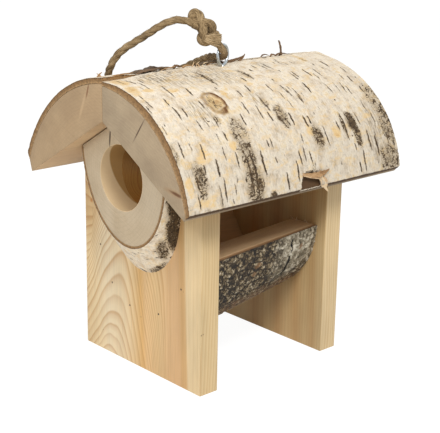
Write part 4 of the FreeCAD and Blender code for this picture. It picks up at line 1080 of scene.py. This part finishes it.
# The trough: half a log of old birch between the boards, hollowed to a flat-bottomed channel, with
# the thick scaly bark of the tree's foot left on underneath. It tapers, so its two ends are given:
# the log's middle there, its radius and how high its rim is.
NEAR_RING = ((0.0, 101.2), 73.2, 106.0)
FAR_RING = ((-4.5, 110.7), 68.5, 109.5)
TROUGH_ENDS, TROUGH_BARK = (FRONT_INNER_FACE, BACK_INNER_FACE), 4.7
TROUGH_ROUND = 232

# Places on its bark are (along, round), from the right rim, with half their size each way
RUSTY_PLACES = [(38, 15, 4, 4), (-15, 17, 5, 4), (-18, 24, 4, 3)]

trough_wood = trued_copy("feed_trough", "feed_trough_hollowed", 0.6)
hollowed = birch_wood("birch_trough", (-2, 0, 108), (0.04, 1, -0.08), "d6b58c", "bc986e")
trough_wood.data.materials.append(hollowed)
set_down(trough_wood, "feed_trough")


def half_ring(ends, inset, share):
    """Places across and up from the right rim, under the log and up to the left rim, by share."""
    (across, up), radius, rim = ends
    start = np.arcsin((rim - up) / (radius - inset))
    angle = start - (math.pi + 2 * start) * share
    return across + (radius - inset) * np.cos(angle), up + (radius - inset) * np.sin(angle)


def plates(x, y, seed):
    """The cracks between bark plates: 0 in a crack and more towards a plate's middle."""
    gaps = []
    for a, b in zip(x.tolist(), y.tolist()):
        apart, _ = noise.voronoi(Vector((a, b, seed)))
        gaps.append(apart[1] - apart[0])
    return np.array(gaps)


def old_bark(name):
    """Old birch bark from the foot of the tree: thick rough plates, black in the cracks and grey to
    chalk-white on top, with red-brown bark where scales have fallen off."""
    made, tree, shader = new_material(name, 0.85)
    lay = add(tree, "Attribute", attribute_name="lay").outputs["Vector"]
    depth = add(tree, "SeparateXYZ", {0: lay}).outputs["Z"]
    marks = add(tree, "Attribute", attribute_name="marks").outputs["Vector"]
    crust, chalk, brown = add(tree, "SeparateXYZ", {0: marks}).outputs
    place = place_on(tree)
    grit = {"Scale": 1 / 1.6, "Detail": 6.0, "Roughness": 0.75, "Distortion": 0.4}
    grit = add(tree, "TexNoise", {"Vector": place, **grit})
    patch = {"Scale": 1 / 4.5, "Detail": 4.0, "Roughness": 0.7, "Distortion": 0.8}
    patch = add(tree, "TexNoise", {"Vector": place, **patch})
    high = add(tree, "Math", {0: grit, 1: 0.5}, operation="SUBTRACT")
    high = add(tree, "Math", {0: high, 1: 2.4, 2: crust}, operation="MULTIPLY_ADD")
    tints = [(0.0, "120d07"), (0.25, "261d13"), (0.42, "463927")]
    tints += [(0.55, "68583f"), (0.75, "8f7e60"), (1.0, "b3a488")]
    skin = add(tree, "ValToRGB", {0: high}, tints)
    white = add(tree, "Math", {0: patch, 1: grit}, operation="ADD")
    white = add(tree, "Math", {0: high, 1: 0.5, 2: white}, operation="MULTIPLY_ADD")
    white = add(tree, "MapRange", {"Value": white, "From Min": 1.43, "From Max": 1.6, "To Max": 0.85})
    skin = add(tree, "Mix", {"Factor": white, "A": skin, "B": linear("cfc5b0")}, data_type="RGBA")
    wide = {"Scale": 1 / 8, "Detail": 5.0, "Roughness": 0.7, "Distortion": 0.6}
    wide = add(tree, "TexNoise", {"Vector": place, **wide})
    wide = add(tree, "Math", {0: high, 1: 0.2, 2: wide}, operation="MULTIPLY_ADD")
    tints = [(0.42, "3d3427"), (0.5, "6b604c"), (0.58, "8d826d"), (0.64, "b1a792"), (0.72, "d3cab8")]
    smooth = add(tree, "ValToRGB", {0: wide}, tints)
    split = add(tree, "MapRange", {"Value": crust, "From Min": -0.2, "From Max": 0.15})
    smooth = add(tree, "VectorMath", {0: smooth, "Scale": split}, operation="SCALE")
    skin = add(tree, "Mix", {"Factor": chalk, "A": skin, "B": smooth}, data_type="RGBA")
    rust = add(tree, "Math", {0: brown, 1: patch}, operation="ADD")
    rust = add(tree, "MapRange", {"Value": rust, "From Min": 0.75, "From Max": 1.05, "To Max": 0.7})
    skin = add(tree, "Mix", {"Factor": rust, "A": skin, "B": linear("7f5c3a")}, data_type="RGBA")
    under = add(tree, "Math", {0: grit, 1: 0.12, 2: depth}, operation="MULTIPLY_ADD")
    inner = add(tree, "ValToRGB", {0: under}, [(0.0, "b08a5f"), (0.5, "95714b"), (0.95, "58422c")])
    outside = add(tree, "MapRange", {"Value": under, "From Min": 0.97, "From Max": 1.03})
    colour = add(tree, "Mix", {"Factor": outside, "A": inner, "B": skin}, data_type="RGBA")
    dress(tree, shader, colour, grit, 0.8, 0.6)
    return made


trough_bark, u, v, h = flat_sheet("trough_bark_scaly", 270, 130, 4)
inset = TROUGH_BARK * (1 - h)
near_x, near_z = half_ring(NEAR_RING, inset, u)
far_x, far_z = half_ring(FAR_RING, inset, u)
smooth_x, smooth_z = near_x + (far_x - near_x) * v, near_z + (far_z - near_z) * v
along = TROUGH_ENDS[0] + (TROUGH_ENDS[1] - TROUGH_ENDS[0]) * v
down = TROUGH_ROUND * u
wander_a, wander_b = lumps(along / 5, down / 5, 1.0), lumps(along / 5, down / 5, 2.0)
gap = plates((along + 2.4 * wander_a) / 5.2, (down + 2.4 * wander_b) / 4.0, 3.0)
fine_gap = plates((along + wander_b) / 2.3, (down + wander_a) / 2.0, 8.0)
swell = lumps(along / 7, down / 6, 4.0)
crust = np.clip(1.5 * gap, 0, 0.55) + 0.3 * np.clip(1.6 * fine_gap, 0, 0.6) + 0.22 * swell + 0.06

# Near the back the bark is greyer and smoother. A deep crack runs down it and bends forward at its foot
sway = along - 2.2 * lumps(down / 6, down * 0, 13.0)
deep_crack = oval(sway, down, 26.5, 12, 1.2, 9) + oval(sway, down, 26, 29, 1.7, 9)
deep_crack += oval(along, down + 0.35 * (along - 24), 22.5, 38, 5.5, 2.2)
crust = np.where(deep_crack > 0, crust - 1.1 * np.clip(2.5 * deep_crack, 0, 1), crust)
chalk = np.clip((along - 2 + 8 * wander_a) / 18, 0, 1) * np.clip((50 - down + 6 * wander_b) / 20, 0, 1)
brown = sum(0.6 * np.clip(2 * oval(along, down, *place), 0, 1) for place in RUSTY_PLACES)
brown = brown + 0.42 * np.clip((np.minimum(down, TROUGH_ROUND - down) - 30) / 26, 0, 1)
lift = (np.clip(crust, -0.6, 0.9) - 0.95) * 1.5
(near_across, near_up), (far_across, far_up) = NEAR_RING[0], FAR_RING[0]
out_x = smooth_x - (near_across + (far_across - near_across) * v)
out_z = smooth_z - (near_up + (far_up - near_up) * v)
reach = np.hypot(out_x, out_z)
x, z = smooth_x + out_x / reach * lift * h, smooth_z + out_z / reach * lift * h
z = z + np.where(np.minimum(u, 1 - u) < 1e-4, -0.5 * np.abs(lumps(along / 2.0, h * 2, 19.0)), 0)
marks = (crust, chalk, brown)
shape_as(trough_bark, (x, along, z), lay=(down, along, h), marks=marks)
trough_bark.data.materials.append(old_bark("birch_bark_old"))
set_down(trough_bark, "trough_bark")


# The screw eye: 2.4 mm galvanised wire, bent to a ring whose end all but meets the neck, on a shank
# that is screwed into the right slab beside the ridge.
EYE_MIDDLE, EYE_RADIUS, EYE_WIRE = Vector((6.0, 0.0, 247.85)), 8.05, 2.4
EYE_ACROSS, EYE_UP = Vector((-0.322, 0.947, 0.0)), Vector((0, 0, 1))
EYE_TURN, EYE_STEPS = 338, 60
SHANK = [(212.0, 0.4), (214.0, 1.8), (216.5, 3.3), (232.6, 3.3), (233.4, EYE_WIRE), (237.0, EYE_WIRE)]


def galvanised(name):
    """Bright galvanised steel: a smooth zinc skin with dull cloudy places."""
    made, tree, shader = new_material(name, 0.3)
    shader.inputs["Metallic"].default_value = 1.0
    place = add(tree, "TexCoord").outputs["Object"]
    cloud = add(tree, "TexNoise", {"Vector": place, "Scale": 400.0, "Detail": 4.0, "Roughness": 0.6})
    tint = add(tree, "Mix", {"Factor": cloud, "A": linear("8f979c"), "B": linear("cfd5d8")}, data_type="RGBA")
    tree.links.new(out(tint), shader.inputs["Base Color"])
    dull = add(
        tree, "MapRange", {"Value": cloud, "From Min": 0.35, "From Max": 0.65, "To Min": 0.22, "To Max": 0.42}
    )
    tree.links.new(out(dull), shader.inputs["Roughness"])
    return made


turns = [math.radians(-90 + EYE_TURN * step / EYE_STEPS) for step in range(EYE_STEPS + 1)]
wire = [EYE_MIDDLE + EYE_RADIUS * (EYE_ACROSS * math.cos(a) + EYE_UP * math.sin(a)) for a in turns]
shank = [Vector((EYE_MIDDLE.x, 0.0, z)) for z, _ in SHANK]
thickness = [width for _, width in SHANK] + [EYE_WIRE] * len(wire)
eye = rounds("screw_eye_galvanised", [shank + wire], [thickness], 5)
bpy.ops.object.shade_smooth()
eye.data.materials.append(galvanised("galvanised_wire"))
set_down(eye, "screw_eye")


# Loose bark along the ridge and at the eave: shreds and curls that the saw left, grey outside and tan
# to red-brown inside, still held by a corner in the bark that they came off. Fine splinters of the
# same bark stand up at the trough's rim.
ACROSS, ALONG, DOWNWARDS, UPRIGHT = (1, 0, 0), (0, 1, 0), (0.35, 0, -0.94), (0.3, 0, 0.95)

# Each is four points of a smooth curve, its widths at both ends and in between, the way it is wide,
# how much it cups, and how pale it is
RIDGE_SHREDS = [
    ((-7, -113.5, 239.4), (-7, -112.6, 241.2), (-6.4, -111.6, 242.4), (-5.6, -110.2, 243.6),
     (1.8, 1.4, 0.2), ACROSS, 0.2, 0.6),
    ((-6, -111, 239.6), (-6.2, -111.8, 241), (-6.5, -113, 242), (-7, -114.2, 242.8),
     (1.6, 1.0, 0.2), ALONG, 0.2, 0.65),
    ((-1, -104, 240.4), (-0.6, -98, 241.3), (-0.4, -92, 241.4), (0.2, -86, 241.6),
     (1.2, 1.4, 0.3), ACROSS, 0.2, 0.55),
    ((-8, -86, 237.4), (-7, -79, 240.2), (-6.5, -70, 241.2), (-7, -61, 239.2),
     (2.4, 5.0, 2.2), ACROSS, 0.35, 0.2),
    ((-7, -74, 238.4), (-6, -66, 243.0), (-6, -58, 242.6), (-7, -49, 238.4),
     (2.2, 5.5, 2.6), ACROSS, 0.4, 0.12),
    ((-4, -80, 239.2), (-3.4, -73, 242.2), (-3, -66, 241.4), (-3.4, -56, 241.6),
     (1.4, 3.2, 1.2), ACROSS, -0.3, 0.3),
    ((-3, -66, 239.6), (-2.4, -60, 243.2), (-2.2, -53, 241.8), (-2.6, -42, 240.6),
     (1.6, 3.6, 1.0), ACROSS, 0.3, 0.24),
    ((-11, -71, 236.6), (-10, -62, 242.6), (-9, -55, 241.6), (-10, -45, 237.4),
     (2, 4, 2), ACROSS, 0.5, 0.08),
    ((-2, -57, 240.0), (-1.5, -53, 241.8), (-1, -49, 241.4), (-0.5, -44.5, 241.9),
     (1.0, 1.8, 0.6), ACROSS, 0.3, 0.7),
    ((-3, -44, 240.3), (-2, -42.5, 242.4), (-1.5, -40, 242.9), (-1, -38, 241.0),
     (2.6, 3.0, 1.2), ACROSS, 0.4, 0.35),
    ((-1, -36, 240.3), (-0.6, -33, 242.2), (0, -31, 241.9), (0.4, -28, 241.2),
     (1.2, 1.6, 0.4), ACROSS, 0.3, 0.6),
    ((0, -27, 239.6), (0.6, -26.8, 241.9), (1.0, -26.6, 243.0), (1.2, -25.8, 244.2),
     (1.0, 0.8, 0.2), ALONG, 0.1, 0.85),
    ((0.5, -23.4, 239.5), (0.6, -23.0, 242.0), (0.4, -21.9, 243.0), (0.2, -19.4, 243.6),
     (0.9, 0.7, 0.2), ACROSS, 0.1, 0.9),
    ((1, -20.5, 239.3), (1.4, -21.2, 241.6), (1.6, -22.4, 242.4), (1.8, -24.6, 242.6),
     (1.2, 0.8, 0.2), ALONG, 0.1, 0.8),
    ((0, -17.2, 239.6), (0.6, -16.4, 242.2), (1.0, -14.8, 242.6), (1.6, -12.0, 242.8),
     (1.0, 0.9, 0.2), ALONG, 0.2, 0.95),
    ((0, -12, 239.6), (0.4, -10, 241.6), (0.6, -7, 242.2), (0.8, -3.5, 241.4),
     (1.0, 1.4, 0.4), ACROSS, 0.2, 0.5),
    # Painted shade: this strip fills the gap under the rope and is made dark for the shade there
    ((0.2, -24, 240.4), (0.4, -15, 242.4), (0.6, -5, 243.3), (1.0, 4, 241.0),
     (1.8, 3.0, 2.6), UPRIGHT, 0.2, 0.15),
    ((0.6, 2, 239.8), (1.0, 9, 240.9), (0.8, 18, 240.6), (0.4, 28.5, 244.0),
     (2.2, 2.8, 1.2), UPRIGHT, 0.2, 0.35),
    ((0.2, 23, 240.2), (0.2, 26, 242.0), (0.3, 28.2, 243), (0.4, 29.6, 245.6),
     (1.4, 2.0, 0.6), ALONG, 0.2, 0.4),
    ((-0.6, 49, 241.0), (-0.4, 51, 243.2), (-0.4, 54, 243.2), (-0.2, 57.5, 241.6),
     (0.8, 1.8, 0.5), ACROSS, 0.2, 0.3),
    ((-0.6, 60, 240.2), (-0.4, 61, 242.6), (-0.4, 63, 242.7), (-0.2, 65.5, 240.8),
     (1.4, 2.0, 0.8), ACROSS, 0.3, 0.4),
    ((-0.6, 66, 240.6), (-0.5, 70, 242.6), (-0.5, 74, 242.4), (-0.4, 80, 240.8),
     (1.6, 2.4, 0.8), ACROSS, 0.2, 0.33),
    ((-0.6, 70.6, 240), (-0.4, 73.4, 244), (-0.6, 71.2, 248), (-0.8, 69.3, 253),
     (3.0, 1.9, 1.7), ALONG, 0.3, 0.3),
]
EAVE_SHREDS = [
    ((96.2, 0.6, 168.4), (97.6, 8, 166.6), (98.0, 14, 165.6), (97.8, 20.5, 166.8),
     (2.0, 3.6, 4.4), DOWNWARDS, 0.15, 0.62),
    ((96.8, 15, 166.8), (98.0, 20, 165.4), (98.4, 24, 167.2), (97.9, 29.5, 168.6),
     (3.0, 3.6, 0.4), DOWNWARDS, 0.2, 0.5),
    ((96.9, 1, 167.4), (98.0, 7, 165.4), (98.3, 13, 164.2), (98.0, 19, 163.6),
     (0.5, 1.6, 2.6), DOWNWARDS, -0.2, 0.8),
    ((97.5, 18.6, 165.0), (98.2, 20.5, 160.5), (98.5, 24.0, 155.5), (98.4, 28.4, 150.6),
     (3.4, 5.0, 0.3), ALONG, -0.25, 0.93),
    ((97.8, 22.5, 163.6), (98.3, 25.2, 161.5), (98.5, 26.5, 158.5), (98.3, 27.4, 155.4),
     (1.4, 3.2, 0.4), ALONG, 0.2, 0.78),
]
RIM_SPLINTERS = [
    ((37.5, 54.4, 108.6), (37.2, 54.2, 110.2), (36.6, 53.8, 111.4), (35.6, 53.0, 112.4),
     (0.9, 0.6, 0.2), ACROSS, 0.1, 0.85),
    ((41.0, 55.0, 108.8), (41.4, 54.6, 110.8), (42.2, 54.0, 112.0), (43.4, 53.4, 112.6),
     (1.0, 0.7, 0.2), ACROSS, 0.1, 0.95),
    ((44.5, 53.8, 108.8), (44.6, 53.0, 110.0), (45.4, 52.0, 110.8), (46.4, 50.8, 111.2),
     (1.2, 0.8, 0.2), ACROSS, 0.2, 0.9),
    ((49.5, 55.2, 108.8), (49.6, 55.0, 110.6), (50.6, 54.6, 111.4), (52.0, 54.2, 111.6),
     (0.8, 0.6, 0.2), ACROSS, 0.1, 0.9),
    ((53.5, 55.0, 108.8), (53.2, 54.6, 110.2), (53.0, 54.0, 111.4), (52.6, 53.0, 112.6),
     (0.9, 0.6, 0.2), ACROSS, 0.1, 0.95),
    ((58.0, 54.8, 108.8), (58.4, 54.4, 110.2), (59.4, 53.6, 110.8), (60.6, 52.6, 110.9),
     (1.0, 0.8, 0.2), ACROSS, 0.2, 0.8),
]


def shred(points, widths, wide_way, cup, pale, thick):
    """One thin curled shred, a solid strip along a smooth curve."""
    piece, u, v, h = flat_sheet("shred", 4, 14, 2)
    p = [np.array(point, float) for point in points]
    v = v[:, None]
    middle = (1 - v) ** 3 * p[0] + 3 * v * (1 - v) ** 2 * p[1] + 3 * v * v * (1 - v) * p[2] + v**3 * p[3]
    ahead = 3 * (1 - v) ** 2 * (p[1] - p[0]) + 6 * v * (1 - v) * (p[2] - p[1]) + 3 * v * v * (p[3] - p[2])
    ahead /= np.linalg.norm(ahead, axis=1, keepdims=True)
    side = np.array(wide_way, float) - ahead * (ahead @ np.array(wide_way, float))[:, None]
    side /= np.linalg.norm(side, axis=1, keepdims=True)
    up = np.cross(side, ahead)
    v = v[:, 0]
    wide = np.interp(v, [0, 0.5, 1], widths) * (1 + 0.45 * lumps(v * 9, u * 2, points[0][1]))
    off = u - 0.5
    bowl = cup * wide * (4 * off * off - 0.5) + thick * (h - 0.5) * (1 - 0.6 * v)
    bowl += 0.22 * np.abs(wide) ** 0.5 * lumps(v * 7, u * 2, 3.0 + points[0][1])
    places = middle + side * (off * wide)[:, None] + up * bowl[:, None]
    shape_as(piece, tuple(places.T), lay=(off * wide, v * 20, h), pale=np.full(len(u), float(pale)))
    return piece


def torn_bark(name):
    """Torn birch bark: fibrous and matt, from grey-black outside through red-brown to straw."""
    made, tree, shader = new_material(name, 0.8)
    pale = add(tree, "Attribute", attribute_name="pale").outputs["Fac"]
    fibre = streaks(tree, place_on(tree), (1 / 0.6, 1 / 2.5, 1 / 0.6), 5.0, 0.7)
    mixed = add(tree, "Math", {0: pale, 1: 0.28}, operation="SUBTRACT")
    mixed = add(tree, "Math", {0: fibre, 1: 0.55, 2: mixed}, operation="MULTIPLY_ADD")
    tints = [(0.0, "372d24"), (0.2, "675644"), (0.38, "74563a")]
    tints += [(0.55, "9c774d"), (0.75, "c5a27a"), (1.0, "ddc8a6")]
    colour = add(tree, "ValToRGB", {0: mixed}, tints)
    dress(tree, shader, colour, fibre, 0.7, 0.3)
    return made


loose_bark = torn_bark("torn_birch_bark")
for name, node, slot, shreds, thick in (
    ("ridge_shreds", "roof_bark_left", "birch_bark", RIDGE_SHREDS, 0.8),
    ("eave_shreds", "roof_bark_right", "birch_bark", EAVE_SHREDS, 0.6),
    ("rim_splinters", "feed_trough", "birch_wood", RIM_SPLINTERS, 0.3),
):
    strips = []
    for *points, widths, way, cup, pale in shreds:
        strips.append(shred(points, widths, way, cup, pale, thick))
    strips = joined(name, strips)
    strips.data.materials.append(loose_bark)
    set_down(strips, node)


# Brads hold it all together: steel pins with small heads, driven by eye through the boards into the
# trough, through the roof into the tops of the boards, and through the front board into the slice.
BRAD_WIRE, BRAD_HEAD, BRAD_PROUD = 1.3, 1.7, 0.08
TROUGH_BRAD, ROOF_BRAD, SLICE_BRAD = 45, 63, 32
TROUGH_BRAD_ANGLES, TROUGH_BRAD_INSET = [-170, -134, -105, -65, -22], 20
ROOF_BRADS, ROOF_BRAD_INSET = [(4.8, 45.0), (24.5, 30.0)], 9
SLICE_BRAD_REACH = 22.0
BOARD_APEX = 208


def brads(name, node, pins):
    """Brads at these places: each a head, the way it was driven and its length."""
    lines, widths = [], []
    for head, way, length in pins:
        head, way = Vector(head), Vector(way).normalized()
        lines.append([head + way * step for step in (0, 0.08, 0.6, 0.65, length - 2, length)])
        widths.append([BRAD_HEAD * 0.75, BRAD_HEAD, BRAD_HEAD, BRAD_WIRE, BRAD_WIRE, 0.2])
    made = rounds(name, lines, widths, 2)
    bpy.ops.object.shade_smooth_by_angle(angle=math.radians(40))
    made.data.materials.append(brad_steel)
    set_down(made, node)


def steel_wire(name):
    """Drawn steel wire whose cut head has gone dull brown."""
    made, tree, shader = new_material(name, 0.5)
    shader.inputs["Metallic"].default_value = 0.7
    place = add(tree, "TexCoord").outputs["Object"]
    cloud = add(tree, "TexNoise", {"Vector": place, "Scale": 900.0, "Detail": 3.0})
    tint = add(tree, "Mix", {"Factor": cloud, "A": linear("3f3024"), "B": linear("6d5a48")}, data_type="RGBA")
    tree.links.new(out(tint), shader.inputs["Base Color"])
    return made


brad_steel = steel_wire("brad_wire")
for name, node, ring, face, way in (
    ("front_brads", "front_trough_brads", NEAR_RING, FRONT_FACE, 1),
    ("back_brads", "back_trough_brads", FAR_RING, BACK_FACE, -1),
):
    (across, up), radius, _ = ring
    pins = []
    for angle in TROUGH_BRAD_ANGLES:
        x = across + (radius - TROUGH_BRAD_INSET) * math.cos(math.radians(angle))
        z = up + (radius - TROUGH_BRAD_INSET) * math.sin(math.radians(angle))
        pins.append(((x, face - BRAD_PROUD * way, z), (0, way, 0), TROUGH_BRAD))
    brads(name, node, pins)

for side, name, ring_middle, arcs in (
    (1, "right", RIGHT_RINGS, RIGHT_ARCS),
    (-1, "left", LEFT_RINGS, LEFT_ARCS),
):
    radius = arcs[0][2]
    pins = []
    for y in (FRONT_FACE + ROOF_BRAD_INSET, BACK_FACE - ROOF_BRAD_INSET):
        for inset, lean in ROOF_BRADS:
            lean = math.radians(lean)
            across = BOARD_HALF - inset
            foot = Vector((side * across, BOARD_APEX - across * GABLE_SLOPE))
            way = Vector((side * math.sin(lean), math.cos(lean)))
            off = foot - Vector(ring_middle)
            reach = -off.dot(way) + math.sqrt(off.dot(way) ** 2 - off.dot(off) + radius**2) - 0.6
            head = foot + way * reach
            pins.append(((head.x, y, head.y), (-way.x, 0, -way.y), ROOF_BRAD))
    brads(f"{name}_roof_pins", f"{name}_roof_brads", pins)

pins = []
for across in (-SLICE_BRAD_REACH, SLICE_BRAD_REACH):
    for up in (-SLICE_BRAD_REACH, SLICE_BRAD_REACH):
        head = (HOLE_ACROSS + across, FRONT_INNER_FACE + BRAD_PROUD, HOLE_UP + up)
        pins.append((head, (0, -1, 0), SLICE_BRAD))
brads("slice_pins", "entrance_brads", pins)
